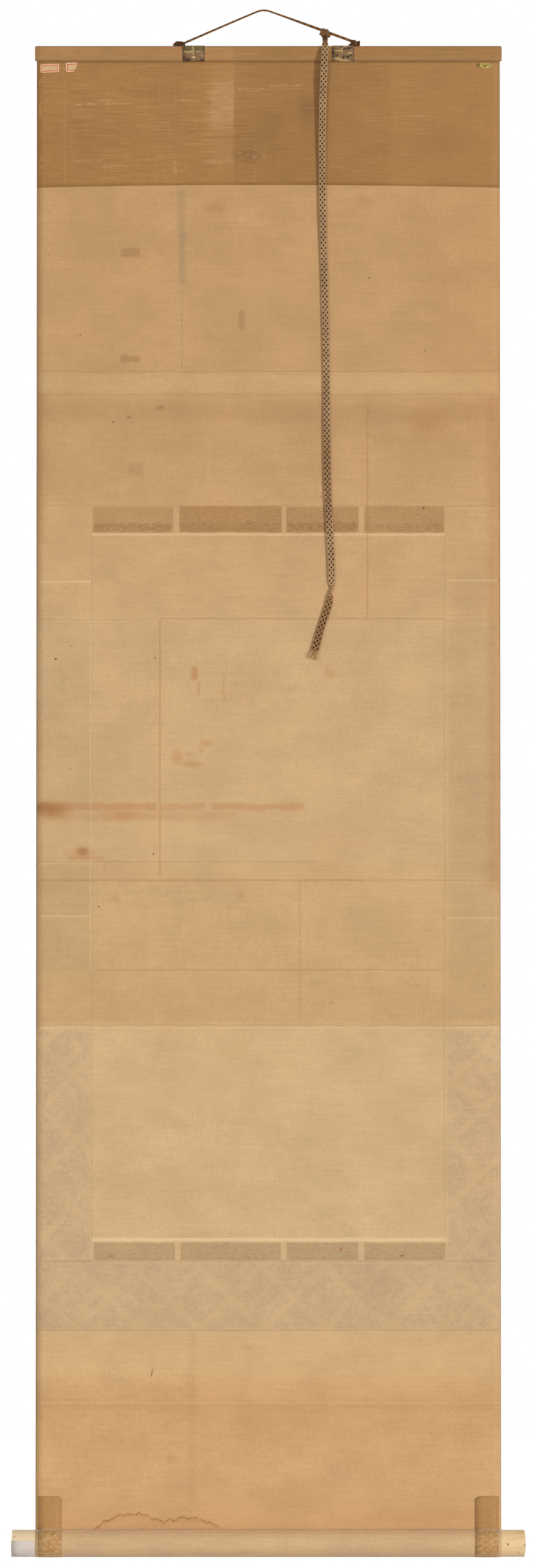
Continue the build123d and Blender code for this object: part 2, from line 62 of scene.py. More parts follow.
import bmesh
import bpy
from bpy.props import FloatProperty, FloatVectorProperty, PointerProperty
from mathutils import Matrix, Vector, noise

bl_info = {
    "name": "Hanging scroll",
    "version": (1, 0, 0),
    "blender": (4, 5, 0),
    "location": "View3D > Sidebar > Scroll",
    "description": "Paper and silk hanging scroll with its cords, stave and roller",
    "category": "Add Mesh",
}

MM = 0.001
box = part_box

# Levels and depths of the sheet, read from the fixed frame
COVER_LOW, COVER_HIGH = box("rear_cover_silk")
ROD_LOW, ROD_HIGH = box("roller_rod")
LAST_PAPER_LOW, LAST_PAPER_HIGH = box("backing_paper_6")
SEAM_Z, COVER_FOOT_Z = COVER_HIGH.z, COVER_LOW.z
BORDER_TOP_Z = box("middle_border_top")[1].z
BOTTOM_SILK_Z = box("middle_border_bottom")[0].z
BOW_TOP_Z = box("top_silk")[1].z
ROLLER_Z, ROLLER_RADIUS = (ROD_LOW.z + ROD_HIGH.z) / 2, (ROD_HIGH.z - ROD_LOW.z) / 2
WRAPPED_RADIUS = ROLLER_Z - box("bottom_silk")[0].z
CREASE_Z = ROLLER_Z + WRAPPED_RADIUS
MIDDLE_X = (LAST_PAPER_LOW.x + LAST_PAPER_HIGH.x) / 2
HALF_AT_COVER = (COVER_HIGH.x - COVER_LOW.x) / 2
HALF_AT_CREASE = (LAST_PAPER_HIGH.x - LAST_PAPER_LOW.x) / 2
PAPER_BACK_Y, PAPER_FRONT_Y = box("backing_paper_3")[0].y, box("backing_paper_3")[1].y
SILK_FRONT_Y = box("picture_panel")[1].y
PAPER_THICK = PAPER_FRONT_Y - PAPER_BACK_Y
SILK_THICK = SILK_FRONT_Y - PAPER_FRONT_Y
COVER_THICK = PAPER_BACK_Y - COVER_LOW.y
SILK_Y = (PAPER_FRONT_Y + SILK_FRONT_Y) / 2
# Where a layer leaves the stave's wrap for its straight fall
FALL_Z = SEAM_Z - 1.5 * MM

# The stave's half-moon section, in Y and Z, as it leans
STAVE_FOOT = (0.157 * MM, -60.155 * MM)
STAVE_HEIGHT, STAVE_DEPTH, STAVE_EDGE = 17.6 * MM, 8.5 * MM, 1.0 * MM
STAVE_LEAN = math.radians(14)
STAVE_FLARE, STAVE_CORNER = 1.7 * MM, 2.4 * MM
BOW_RADIUS = (STAVE_HEIGHT ** 2 / 4 + STAVE_DEPTH ** 2) / (2 * STAVE_DEPTH)

# The cords' routes, as in the part's source, in metres
HANGING_ROUTE = [(-0.0920, 0, -0.0384), (-0.0130, 0, -0.0040), (0.0006, 0, 0.0010),
                 (0.0142, 0, -0.0032), (0.1045, 0, -0.0363)]
WINDING_ROUTE = [
    (0.0733, -0.0034, -0.0286), (0.0735, -0.0092, -0.0430), (0.0725, -0.0098, -0.0615),
    (0.0709, -0.0082, -0.0930), (0.0698, -0.0050, -0.1410), (0.0698, -0.0025, -0.2030),
    (0.0716, -0.0019, -0.2830), (0.0742, -0.0020, -0.3720), (0.0752, -0.0019, -0.4700),
    (0.0759, -0.0020, -0.5600), (0.0790, -0.0020, -0.6160), (0.0812, -0.0021, -0.6600),
    (0.0806, -0.0024, -0.6880), (0.0750, -0.0023, -0.7090), (0.0675, -0.0021, -0.7300),
    (0.0642, -0.0020, -0.7440), (0.0602, -0.0020, -0.7580),
]

# Marks are placed by columns and rows of one size, counted from the left and from the top
PIXEL = 0.718 * MM
MIDDLE_COLUMN, HOOK_ROW, LAST_ROW = 431.5, 18.0, 2600
LEFT, RIGHT = 61, 820


def px(column):
    return (column - MIDDLE_COLUMN) * PIXEL


def pz(row):
    return (HOOK_ROW - row) * PIXEL


def at(column, row, depth):
    """The point at a column and row, and some millimetres from the scroll's plane to its back."""
    return Vector((px(column), -depth * MM, pz(row)))


# Sizes and colours


def length_property(name, text, value):
    return FloatProperty(name=name, description=text, default=value, min=0.0, unit="LENGTH", precision=5)


def light_property(name, text, value):
    return FloatProperty(name=name, description=text, default=value, min=0.0)


def colour_property(name, text, value):
    return FloatVectorProperty(name=name, description=text, default=value, min=0.0, max=1.0,
                               subtype="COLOR_GAMMA", size=3)


class ScrollSizes(bpy.types.PropertyGroup):
    """Sizes of the sheet's hang and of the cords."""

    sway: length_property("Sway", "How far the sheet waves out of its plane", 1.3 * MM)
    curl: length_property("Edge curl", "How far the side edges curl to the picture side", 1.1 * MM)
    column: length_property("Column", "Width of the faces that a sheet is made of", 9 * MM)
    braid_width: length_property("Winding cord width", "Width of the flat braid", 9.0 * MM)
    braid_depth: length_property("Winding cord thickness", "Thickness of the flat braid", 2.4 * MM)
    braid_pitch: length_property("Braid pitch", "Length in which a strand winds once round", 25.3 * MM)
    cord_width: length_property("Hanging cord diameter", "Diameter of the round braid", 2.7 * MM)


PAPER = (0.78, 0.62, 0.43)


class ScrollColours(bpy.types.PropertyGroup):
    """Colours of the papers, cloths, woods and cords, as they look on a screen."""

    paper: colour_property("Paper", "Aged backing paper", PAPER)
    cover: colour_property("Cover silk", "Brown silk on the back of the top", (0.626, 0.449, 0.239))
    stave_silk: colour_property("Stave silk", "Silk over the stave", (0.665, 0.49, 0.30))
    roller_silk: colour_property("Roller silk", "Silk round the roller", (0.785, 0.645, 0.48))
    border: colour_property("Border silk", "Figured silk of the border", (0.66, 0.57, 0.44))
    accent: colour_property("Accent silk", "Dark cloth of the accent strips", (0.44, 0.33, 0.19))
    picture: colour_property("Picture ground", "Bare ground of the picture", (0.80, 0.72, 0.57))
    patch: colour_property("Patch silk", "Cloth of the corner patches", (0.68, 0.507, 0.297))
    knob: colour_property("Knob wood", "Bare turned wood", (0.885, 0.757, 0.568))
    braid: colour_property("Winding cord", "Pale strands of the flat braid", (0.825, 0.665, 0.485))
    # The braid core's colour is partly dark inner yarn and partly painted shade in the braid's holes.
    braid_dark: colour_property("Braid core", "Dark yarns in the flat braid", (0.155, 0.075, 0.03))
    cord: colour_property("Hanging cord", "Brown strands of the round braid", (0.575, 0.385, 0.20))
    cord_dark: colour_property("Dark strands", "Dark strands of the round braid", (0.15, 0.09, 0.06))
    label: colour_property("Label", "Paper of the labels", (0.81, 0.67, 0.48))
    label_red: colour_property("Label border", "Printed border of the labels", (0.75, 0.22, 0.17))
    slip: colour_property("Slip", "Folded slip", (0.80, 0.68, 0.34))


class ScrollStage(bpy.types.PropertyGroup):
    """The camera and the lights."""

    distance: length_property("Camera distance", "From the camera to the scroll", 16.0)
    view_height: length_property("Height in view", "Height that the camera sees at the scroll", 1.8472)
    ambient: light_property("Ambient", "Strength of the even light", 0.36)
    key: light_property("Key light", "Strength of the stronger lamp", 1.70)
    fill: light_property("Fill light", "Strength of the weaker lamp", 0.62)


def chosen(name, share=1.0):
    """The user's colour of that name, times a share."""
    return tuple(share * value for value in getattr(bpy.context.scene.scroll_colours, name))


# Painting with nodes


def linear(colour):
    """A screen colour as the renderer's linear values."""
    return tuple(c / 12.92 if c <= 0.04045 else ((c + 0.055) / 1.055) ** 2.4 for c in colour) + (1.0,)


class Value:
    """A number in a node tree: sums of it add nodes, and a | b is the larger of two."""

    def __init__(self, tree, socket):
        self.tree, self.socket = tree, socket

    def __add__(self, other):
        return self.tree.math("ADD", self, other)

    def __sub__(self, other):
        return self.tree.math("SUBTRACT", self, other)

    def __rsub__(self, other):
        return self.tree.math("SUBTRACT", other, self)

    def __mul__(self, other):
        return self.tree.math("MULTIPLY", self, other)

    def __truediv__(self, other):
        return self.tree.math("DIVIDE", self, other)

    def __or__(self, other):
        return self.tree.math("MAXIMUM", self, other)

    def __abs__(self):
        return self.tree.math("ABSOLUTE", self)

    def fade(self, start, stop, low=0.0, high=1.0):
        """A smooth change from low to high as the number goes from start to stop."""
        made = self.tree.node("ShaderNodeMapRange", interpolation_type="SMOOTHSTEP", clamp=False)
        return self.tree.fill(made, (self, start, stop, low, high))


class Tree:
    """The nodes of a material, of a group or of the surroundings."""

    def __init__(self, tree):
        self.tree = tree

    def node(self, kind, **settings):
        made = self.tree.nodes.new(kind)
        for name, setting in settings.items():
            setattr(made, name, setting)
        return made

    def link(self, value, socket):
        """Feed a value, a screen colour or a plain number to a node."""
        if isinstance(value, Value):
            self.tree.links.new(value.socket, socket)
        elif isinstance(value, tuple) and len(value) == 3 and socket.type == "RGBA":
            socket.default_value = linear(value)
        else:
            socket.default_value = value

    def fill(self, made, values):
        """A node's output, once its inputs are fed in order."""
        for socket, value in zip(made.inputs, values):
            self.link(value, socket)
        return Value(self, made.outputs[0])

    def math(self, operation, *values):
        return self.fill(self.node("ShaderNodeMath", operation=operation), values)


def oval(x, z, middle_x, middle_z, half_width, half_height, core):
    """Full inside its core, a share of its size, and faded out at its rim."""
    across, down = (x - middle_x) / half_width, (z - middle_z) / half_height
    return x.tree.math("SQRT", across * across + down * down).fade(1.0, core)


def oblong(x, z, middle_x, middle_z, half_width, half_height, core_width, core_height):
    """Full inside its core, and faded out at its sides."""
    return abs(x - middle_x).fade(half_width, core_width) * abs(z - middle_z).fade(half_height, core_height)


def stroke(x, z, from_x, from_z, heading_x, heading_z, half_length, inner, outer):
    """A line of a width, faded at its ends."""
    dx, dz = x - from_x, z - from_z
    along, aside = dx * heading_x + dz * heading_z, dx * heading_z - dz * heading_x
    past = abs(along - half_length) - half_length
    return abs(aside).fade(outer, inner) * past.fade(0.0, -2 * MM)


class Place:
    """X and Z that marks are drawn on, by columns and rows."""

    def __init__(self, x, z):
        self.x, self.z = x, z

    def mark(self, shape, *sizes):
        """A mark as a node group, which is made once from its function and arguments."""
        group = bpy.data.node_groups.get(shape.__name__)
        if not group:
            group = bpy.data.node_groups.new(shape.__name__, "ShaderNodeTree")
            for title in inspect.signature(shape).parameters:
                group.interface.new_socket(title, in_out="INPUT", socket_type="NodeSocketFloat")
            group.interface.new_socket("mask", in_out="OUTPUT", socket_type="NodeSocketFloat")
            tree = Tree(group)
            start, end = tree.node("NodeGroupInput"), tree.node("NodeGroupOutput")
            tree.link(shape(*(Value(tree, socket) for socket in start.outputs if socket.name)), end.inputs[0])
        tree = self.x.tree
        return tree.fill(tree.node("ShaderNodeGroup", node_tree=group), (self.x, self.z, *sizes))

    def spot(self, x, y, half_x, half_y, softness=0.6):
        """An oval round a column and row."""
        return self.mark(oval, px(x), pz(y), half_x * PIXEL, half_y * PIXEL, 1.0 - softness)

    def field(self, left, right, top, foot, softness=1.0):
        """An upright oblong between columns and rows."""
        halves = ((right - left) / 2, (foot - top) / 2)
        cores = (max(0.0, half - softness) for half in halves)
        sizes = (size * PIXEL for size in (*halves, *cores))
        return self.mark(oblong, px((left + right) / 2), pz((top + foot) / 2), *sizes)

    def rule(self, x0, y0, x1, y1, width, soft=0.8):
        """A line from one column and row to another."""
        dx, dz = px(x1) - px(x0), pz(y1) - pz(y0)
        length = math.hypot(dx, dz)
        return self.mark(stroke, px(x0), pz(y0), dx / length, dz / length, length / 2, width * PIXEL / 2,
                         (width / 2 + soft) * PIXEL)


class Paint(Tree):
    """A material, with the colour that its tones and stains are laid on, one over the other."""

    def __init__(self, name, colour=None, roughness=0.8, sheen=0.0, metallic=0.0, specular=0.3):
        self.material = bpy.data.materials.new(name)
        self.material.use_nodes = True
        super().__init__(self.material.node_tree)
        self.shader = next(n for n in self.tree.nodes if n.type == "BSDF_PRINCIPLED")
        settings = {"Roughness": roughness, "Metallic": metallic, "Specular IOR Level": specular}
        if sheen:
            settings.update({"Sheen Weight": sheen, "Sheen Roughness": 0.45})
        for title, value in settings.items():
            self.shader.inputs[title].default_value = value
        self.colour = colour
        places = self.node("ShaderNodeTexCoord")
        self.object, self.flat = (Value(self, places.outputs[title]) for title in ("Object", "UV"))
        self.x, self.y, self.z = self.axes(self.object)

    def axes(self, place):
        split = self.node("ShaderNodeSeparateXYZ")
        self.link(place, split.inputs[0])
        return [Value(self, socket) for socket in split.outputs]

    def stretched(self, scale, where=None, turn=0.0):
        """Coordinates scaled along each axis, and turned in the plane of the sheet."""
        made = self.node("ShaderNodeMapping")
        self.link(where or self.object, made.inputs["Vector"])
        made.inputs["Scale"].default_value = scale
        made.inputs["Rotation"].default_value = (0.0, 0.0, turn) if where else (0.0, turn, 0.0)
        return Value(self, made.outputs[0])

    def cloudy(self, place, detail, rough, distort=0.0):
        made = self.node("ShaderNodeTexNoise")
        self.link(place, made.inputs["Vector"])
        settings = {"Scale": 1.0, "Detail": detail, "Roughness": rough, "Distortion": distort}
        for title, value in settings.items():
            made.inputs[title].default_value = value
        return made.outputs

    def grain(self, scale, detail=3.0, rough=0.55, where=None, turn=0.0, distort=0.0):
        """Noise from 0 to 1, with as many cycles a metre as given along each axis."""
        return Value(self, self.cloudy(self.stretched(scale, where, turn), detail, rough, distort)["Fac"])

    def wander(self, reach, cycles=70.0):
        """A place that strays by up to a reach, so that a mark drawn on it has a ragged edge."""
        stray = self.cloudy(self.stretched((cycles, cycles, cycles)), 3.0, 0.65)["Color"]
        parts = self.node("ShaderNodeSeparateColor")
        self.link(Value(self, stray), parts.inputs[0])
        aside, up = (Value(self, parts.outputs[n]) for n in (0, 2))
        return Place(self.x + (aside - 0.5) * (2.0 * reach), self.z + (up - 0.5) * (2.0 * reach))

    def mix(self, share, first, second, blend="MIX"):
        made = self.node("ShaderNodeMix", data_type="RGBA", blend_type=blend, clamp_factor=True)
        for n, value in ((0, share), (6, first), (7, second)):
            self.link(value, made.inputs[n])
        return Value(self, made.outputs[2])

    def tone(self, value, low, high, start=0.3, stop=0.7):
        """Shade the colour by a number that goes from low to high with a value."""
        amount = self.fill(self.node("ShaderNodeCombineColor"), [value.fade(start, stop, low, high)] * 3)
        self.colour = self.mix(1.0, self.colour, amount, "MULTIPLY")

    def lay(self, share, tint):
        self.colour = self.mix(share, self.colour, tint)

    def stain(self, mask, share, tint):
        self.lay(mask * share, tint)

    def done(self, height, depth, strength=0.5):
        """The material, with a relief of the given depth in metres."""
        self.link(self.colour, self.shader.inputs["Base Color"])
        made = self.node("ShaderNodeBump")
        for title, value in (("Strength", strength), ("Distance", depth), ("Height", height)):
            self.link(value, made.inputs[title])
        self.link(Value(self, made.outputs[0]), self.shader.inputs["Normal"])
        return self.material


# Meshes


def mesh_from(bm, name):
    """A mesh of what a bmesh holds, which is then freed."""
    mesh = bpy.data.meshes.new(name)
    bm.to_mesh(mesh)
    bm.free()
    return mesh


def add_object(name, data):
    """An object at the origin, in the scene."""
    made = bpy.data.objects.new(name, data)
    bpy.context.scene.collection.objects.link(made)
    return made


def finish_piece(bm, name, materials, slot, thickness=0.0):
    """A mesh object at the origin from a bmesh, riding on the scroll."""
    mesh = mesh_from(bm, name)
    for material in materials:
        mesh.materials.append(material)
    for face in mesh.polygons:
        face.use_smooth = True
    made = add_object(name, mesh)
    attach(made, "root")
    if thickness:
        shell = made.modifiers.new("Thickness", "SOLIDIFY")
        shell.thickness, shell.offset = thickness, 0.0
    return made


def lay_flat(faces, layer, place):
    """Write where each corner lies on the flat piece."""
    for face in faces:
        for loop in face.loops:
            loop[layer].uv = place(loop.vert)


def half_width(z):
    """Half the sheet's width at a level."""
    share = (COVER_FOOT_Z - z) / (COVER_FOOT_Z - CREASE_Z)
    return HALF_AT_COVER + (HALF_AT_CREASE - HALF_AT_COVER) * max(-0.1, min(1.0, share))


def ease(value):
    value = max(0.0, min(1.0, value))
    return value * value * (3 - 2 * value)


def rounded(over, radius):
    """How far a rounded corner draws in, for a height over the level where it starts."""
    return radius - math.sqrt(max(0.0, radius ** 2 - min(max(0.0, over), radius) ** 2))


def sway(x, z):
    """How far the hanging sheet stands out of its plane, always to the picture side."""
    sizes = bpy.context.scene.scroll_sizes
    free = ease((SEAM_Z - z) / 0.10) * ease((z - CREASE_Z) / 0.09)
    if free <= 0:
        return 0.0
    across = (x - MIDDLE_X) / HALF_AT_COVER
    waves = 0.5 + 0.26 * math.sin(z * 21 + 1.2 * across) + 0.16 * math.sin(z * 47 - 2.1 * across + 0.7)
    waves += 0.12 * math.sin(across * 4.1 + z * 8)
    edge = max(0.0, abs(across) - 0.84) / 0.16
    return free * (sizes.sway * max(0.0, waves) + sizes.curl * edge * edge)


def line_between(start, end, step):
    """Even steps from one point to another, without the first."""
    count = max(1, round(math.dist(start, end) / step))
    return [tuple(a + (b - a) * n / count for a, b in zip(start, end)) for n in range(1, count + 1)]


def arc_about(middle, radius, start, end, step):
    """Points round a middle from one angle to another, without the first."""
    count = max(2, round(abs(end - start) / math.radians(step)))
    angles = (start + (end - start) * n / count for n in range(1, count + 1))
    return [(middle[0] + radius * math.cos(t), middle[1] + radius * math.sin(t)) for t in angles]


def leaning(u, v):
    """A point of the stave's upright section as it leans, in Y and Z."""
    c, s = math.cos(STAVE_LEAN), math.sin(STAVE_LEAN)
    return STAVE_FOOT[0] + u * c - v * s, STAVE_FOOT[1] + u * s + v * c


def over_stave(out, foot=0.0, front_stop=None):
    """The line over the stave from its back foot, as far out from the wood as given."""
    bow = (STAVE_DEPTH - BOW_RADIUS, STAVE_HEIGHT / 2)
    rise = math.sqrt((BOW_RADIUS - STAVE_EDGE) ** 2 - (STAVE_EDGE - bow[0]) ** 2)
    turn = math.atan2(rise, STAVE_EDGE - bow[0])
    edge = leaning(STAVE_EDGE, bow[1] + rise)
    start = leaning(-out, foot)
    points = [start] + line_between(start, leaning(-out, bow[1] + rise), 3 * MM)
    points += arc_about(edge, STAVE_EDGE + out, math.pi + STAVE_LEAN, turn + STAVE_LEAN, 12)
    stop = -turn + STAVE_LEAN if front_stop is None else front_stop
    return points + arc_about(leaning(*bow), BOW_RADIUS + out, turn + STAVE_LEAN, stop, 7)


def round_roller(out, y):
    """The line round the roller, from the sheet's front over and under to the crease at the back."""
    radius = ROLLER_RADIUS + out
    start = math.acos(max(-1.0, min(1.0, (y + 0.5 * MM) / radius)))
    end = -math.pi * 1.5 + 0.4 * MM / radius
    return [(y, ROLLER_Z + radius + 0.6 * MM)] + arc_about((0.0, ROLLER_Z), radius, start + 0.02, end, 5)


def drop(y, high, low, step=9 * MM):
    """A straight fall at a depth from one level to another."""
    return [(y, high)] + line_between((y, high), (y, low), step)


def stations(points):
    """A line's points with their distance along it."""
    run, result = 0.0, []
    for n, point in enumerate(points):
        run += math.dist(points[n - 1], point) if n else 0.0
        result.append((run, *point))
    return result


def line_length(line):
    return stations(line)[-1][0]


def cloth(name, line, sides, thickness, material, slot, moved=True, bow=None, trim=None):
    """A sheet that was flat and follows a line in Y and Z, between two sides."""
    rows = stations(line)
    left, right = sides(rows[-1][2])
    columns = max(2, round((right - left) / bpy.context.scene.scroll_sizes.column))
    bm = bmesh.new()
    bmesh.ops.create_grid(bm, x_segments=columns, y_segments=len(rows) - 1, size=1.0)
    place = {}
    for vertex in bm.verts:
        share = (vertex.co.x + 1) / 2
        run, y, z = rows[round((1 - vertex.co.y) / 2 * (len(rows) - 1))]
        left, right = sides(z)
        x = left + (right - left) * share
        z += bow(share) * (run / rows[-1][0]) ** 8 if bow else 0.0
        place[vertex] = (x, -run)
        vertex.co = (x, y + (sway(x, z) if moved else 0.0), z)
    lay_flat(bm.faces, bm.loops.layers.uv.new("flat"), place.get)
    if trim:
        trim(bm)
    return finish_piece(bm, name, [material], slot, thickness)


def hang_cloth(name, line, sides, thickness, material, slot, node, width, held="hung",
               rests_on=("paper_back",), **more):
    """A cloth in the place of a fixed node; its flat size and what it rests on are given but not used."""
    piece = cloth(name, line, sides, thickness, material, slot, **more)
    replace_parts(piece, node)
    line_length(line)


def full_width(z):
    return MIDDLE_X - half_width(z), MIDDLE_X + half_width(z)


def between(left, right):
    return lambda z: (left, right)


def wrapped_sides(extra):
    """The sides of a cloth that wraps the stave, which is wider than the sheet and rounded at its top."""

    def sides(z):
        half = half_width(z) - extra
        if z > SEAM_Z:
            half += STAVE_FLARE * ease((z - SEAM_Z) / (3 * MM))
            half -= rounded(z - (BOW_TOP_Z - STAVE_CORNER), STAVE_CORNER)
        return MIDDLE_X - half, MIDDLE_X + half

    return sides


# Cords


def route_points(name, route, step):
    """Points along the smooth line of a route, a step apart, and the line's length."""
    curve = bpy.data.curves.new(name, "CURVE")
    curve.dimensions = "3D"
    curve.resolution_u = 24
    spline = curve.splines.new("NURBS")
    spline.points.add(len(route) - 1)
    for point, place in zip(spline.points, route):
        point.co = (*place, 1.0)
    spline.order_u = 3
    spline.use_endpoint_u = True
    holder = bpy.data.objects.new(name, curve)
    mesh = bpy.data.meshes.new_from_object(holder)
    line = [vertex.co.copy() for vertex in mesh.vertices]
    bpy.data.objects.remove(holder)
    bpy.data.curves.remove(curve)
    bpy.data.meshes.remove(mesh)
    runs = [0.0]
    for first, second in zip(line, line[1:]):
        runs.append(runs[-1] + (second - first).length)
    count = max(2, round(runs[-1] / step))
    points, n = [], 0
    for want in (runs[-1] * part / count for part in range(count + 1)):
        while n < len(line) - 2 and runs[n + 1] < want:
            n += 1
        share = (want - runs[n]) / max(1e-9, runs[n + 1] - runs[n])
        points.append(line[n].lerp(line[n + 1], min(1.0, share)))
    return points, runs[-1]


def frames_along(points, side):
    """At each point, the side and face directions of a cord that starts with a side direction."""
    result, last = [], Vector(side)
    for n, point in enumerate(points):
        ahead = (points[min(n + 1, len(points) - 1)] - points[max(n - 1, 0)]).normalized()
        last = (last - ahead * last.dot(ahead)).normalized()
        result.append((point, last.copy(), ahead.cross(last)))
    return result


def facing(line):
    """Frames of a line of (point, outward direction)."""
    result = []
    for n, (point, away) in enumerate(line):
        ahead = (line[min(n + 1, len(line) - 1)][0] - line[max(n - 1, 0)][0]).normalized()
        away = (away - ahead * away.dot(ahead)).normalized()
        result.append((point, ahead.cross(away), away))
    return result


def tube(bm, frames, width, depth, sides=6):
    """A closed tube along frames, of a width and a depth that may each follow the frame's number."""
    rings = len(frames)
    made = bmesh.ops.create_grid(bm, x_segments=sides, y_segments=rings - 1, size=1.0)["verts"]
    run = [0.0]
    for first, second in zip(frames, frames[1:]):
        run.append(run[-1] + (second[0] - first[0]).length)
    ends, place = {}, {}
    for vertex in made:
        n = round((vertex.co.y + 1) / 2 * (rings - 1))
        share = (vertex.co.x + 1) / 2
        place[vertex] = (share, run[n])
        point, side, face = frames[n]
        turn = 2 * math.pi * share
        wide, deep = (size(n) if callable(size) else size for size in (width, depth))
        vertex.co = point + side * (math.cos(turn) * wide / 2) + face * (math.sin(turn) * deep / 2)
        if n in (0, rings - 1):
            ends.setdefault(n, []).append(vertex)
    lay_flat({face for vertex in made for face in vertex.link_faces}, bm.loops.layers.uv.verify(), place.get)
    bmesh.ops.remove_doubles(bm, verts=made, dist=1e-7)
    for ring in ends.values():
        bmesh.ops.contextual_create(bm, geom=[vertex for vertex in ring if vertex.is_valid])


def flattened(share, reach, depth):
    """Across and out from a flat cord's middle, for a share of the way round it."""
    turn = 2 * math.pi * share
    return reach * math.asin(0.97 * math.cos(turn)) / math.asin(0.97), depth * math.tanh(2.6 * math.sin(turn))


def flat_braid(pale, dark, frames, width, depth, pitch, spread):
    """Eight doubled strands that wind both ways round a flat dark core, over and under each other; the core
    stands for dark inner yarns and also for painted shade seen through the braid's holes.
    """
    step = (frames[1][0] - frames[0][0]).length
    reach, layer = (width - 1.0 * MM) / 2, depth / 2 - 0.62 * MM
    pair = 0.56 * MM / (4 * reach)
    for way, strand, yarn in itertools.product((-1, 1), range(4), (-1, 1)):
        line = []
        for n, (point, side, face) in enumerate(frames):
            middle = way * n * step / pitch + strand / 4
            share = middle + yarn * pair
            here = flattened(share, reach * spread(n), layer)
            near = flattened(share + 0.004, reach * spread(n), layer)
            away = Vector((near[1] - here[1], here[0] - near[0], 0)).normalized()
            lift = 0.27 * MM * way * math.cos(8 * math.pi * middle)
            stray = 0.10 * MM * noise.noise(Vector((n * step * 120, strand * 3.1 + way, 0.0)))
            across, out = here[0] + away.x * lift + stray, here[1] + away.y * lift
            line.append((point + side * across + face * out, side * away.x + face * away.y))
        tube(pale, facing(line), 0.87 * MM, 0.72 * MM)
    # The dark core: inner yarns, and painted shade inside the flattened braid, seen through its holes.
    tube(dark, frames, lambda n: 0.84 * width * spread(n), 0.34 * MM)


def round_braid(pale, dark, frames, width, turn, taper, dark_strands=(0,)):
    """Eight strands that wind both ways round a dark core, over and under each other."""
    step = (frames[1][0] - frames[0][0]).length

    def size(share):
        return lambda n: share * width * taper(n)

    for way, strand in itertools.product((-1, 1), range(4)):
        line = []
        for n, (point, side, face) in enumerate(frames):
            angle = way * 2 * math.pi * n * step / turn + math.pi * strand / 2
            radius = taper(n) * width * (0.37 + 0.055 * way * math.cos(4 * angle))
            away = side * math.cos(angle) + face * math.sin(angle)
            line.append((point + away * radius, away))
        tube(dark if strand in dark_strands and way > 0 else pale, facing(line), size(0.46), size(0.25))
    tube(dark, frames, size(0.60), size(0.60))


def two_tone(bm_pale, bm_dark, name, strands, slot, node):
    """One piece of the pale and the dark strands together, in the place of a fixed node."""
    for bm in (bm_pale, bm_dark):
        bmesh.ops.recalc_face_normals(bm, faces=bm.faces)
    for face in bm_dark.faces:
        face.material_index = 1
    mesh = mesh_from(bm_dark, "strands")
    bm_pale.from_mesh(mesh)
    bpy.data.meshes.remove(mesh)
    made = finish_piece(bm_pale, name, strands, slot)
    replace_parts(made, node)
    return made


# Finishes


def levels(paint, stops):
    """A colour for each level, from (row, colour) stops that run down the scroll."""
    ramp = paint.node("ShaderNodeValToRGB")
    share = paint.node("ShaderNodeMapRange", clamp=False)
    paint.link(paint.fill(share, (paint.z, pz(0), pz(LAST_ROW), 0.0, 1.0)), ramp.inputs[0])
    elements = ramp.color_ramp.elements
    for element, (row, colour) in zip(elements, (stops[0], stops[-1])):
        element.position, element.color = row / LAST_ROW, linear(colour)
    for row, colour in stops[1:-1]:
        elements.new(row / LAST_ROW).color = linear(colour)
    return Value(paint, ramp.outputs[0])


def paper_mottle(paint, strength=1.0):
    """Clouds, fibres and laid lines of handmade paper."""
    cloud = paint.grain((13, 13, 17), detail=5, rough=0.66)
    fibre = paint.grain((520, 520, 240), rough=0.7)
    laid = paint.grain((14, 14, 420), rough=0.6)
    paint.tone(cloud, 1 - 0.07 * strength, 1 + 0.05 * strength, 0.32, 0.68)
    paint.tone(fibre, 1 - 0.05 * strength, 1 + 0.045 * strength)
    paint.tone(laid, 1 - 0.035 * strength, 1 + 0.03 * strength)
    return fibre


# The papers' own tones from the stave down, by row, for a paper of the colour PAPER
PAPER_TONES = (
    (300, (0.757, 0.590, 0.407)), (610, (0.760, 0.598, 0.415)), (613, (0.790, 0.636, 0.450)),
    (645, (0.785, 0.630, 0.444)), (651, (0.755, 0.594, 0.412)), (700, (0.752, 0.592, 0.412)),
    (829, (0.775, 0.615, 0.432)), (833, (0.783, 0.628, 0.446)), (1012, (0.792, 0.643, 0.466)),
    (1020, (0.798, 0.656, 0.482)), (1412, (0.800, 0.658, 0.484)), (1418, (0.794, 0.648, 0.470)),
    (1595, (0.786, 0.636, 0.452)), (1681, (0.782, 0.628, 0.446)), (1689, (0.812, 0.676, 0.502)),
    (2030, (0.806, 0.672, 0.502)), (2076, (0.800, 0.668, 0.500)), (2182, (0.802, 0.668, 0.494)),
    (2186, (0.816, 0.666, 0.486)), (2250, (0.812, 0.660, 0.474)), (2272, (0.802, 0.636, 0.446)),
    (2310, (0.786, 0.616, 0.424)), (2420, (0.800, 0.636, 0.446)), (2511, (0.780, 0.606, 0.414)),
)


def paper_tones(paint):
    shift = [now - usual for now, usual in zip(chosen("paper"), PAPER)]
    return levels(paint, [(row, tuple(map(sum, zip(tone, shift)))) for row, tone in PAPER_TONES])


DARK, BROWN, RUSSET, GREY = (0.27, 0.17, 0.09), (0.52, 0.35, 0.20), (0.66, 0.43, 0.24), (0.60, 0.51, 0.38)
ORANGE, PALE, MAUVE = (0.71, 0.47, 0.27), (0.90, 0.78, 0.59), (0.65, 0.55, 0.455)
AMBER, TAN = (0.72, 0.49, 0.30), (0.68, 0.46, 0.28)

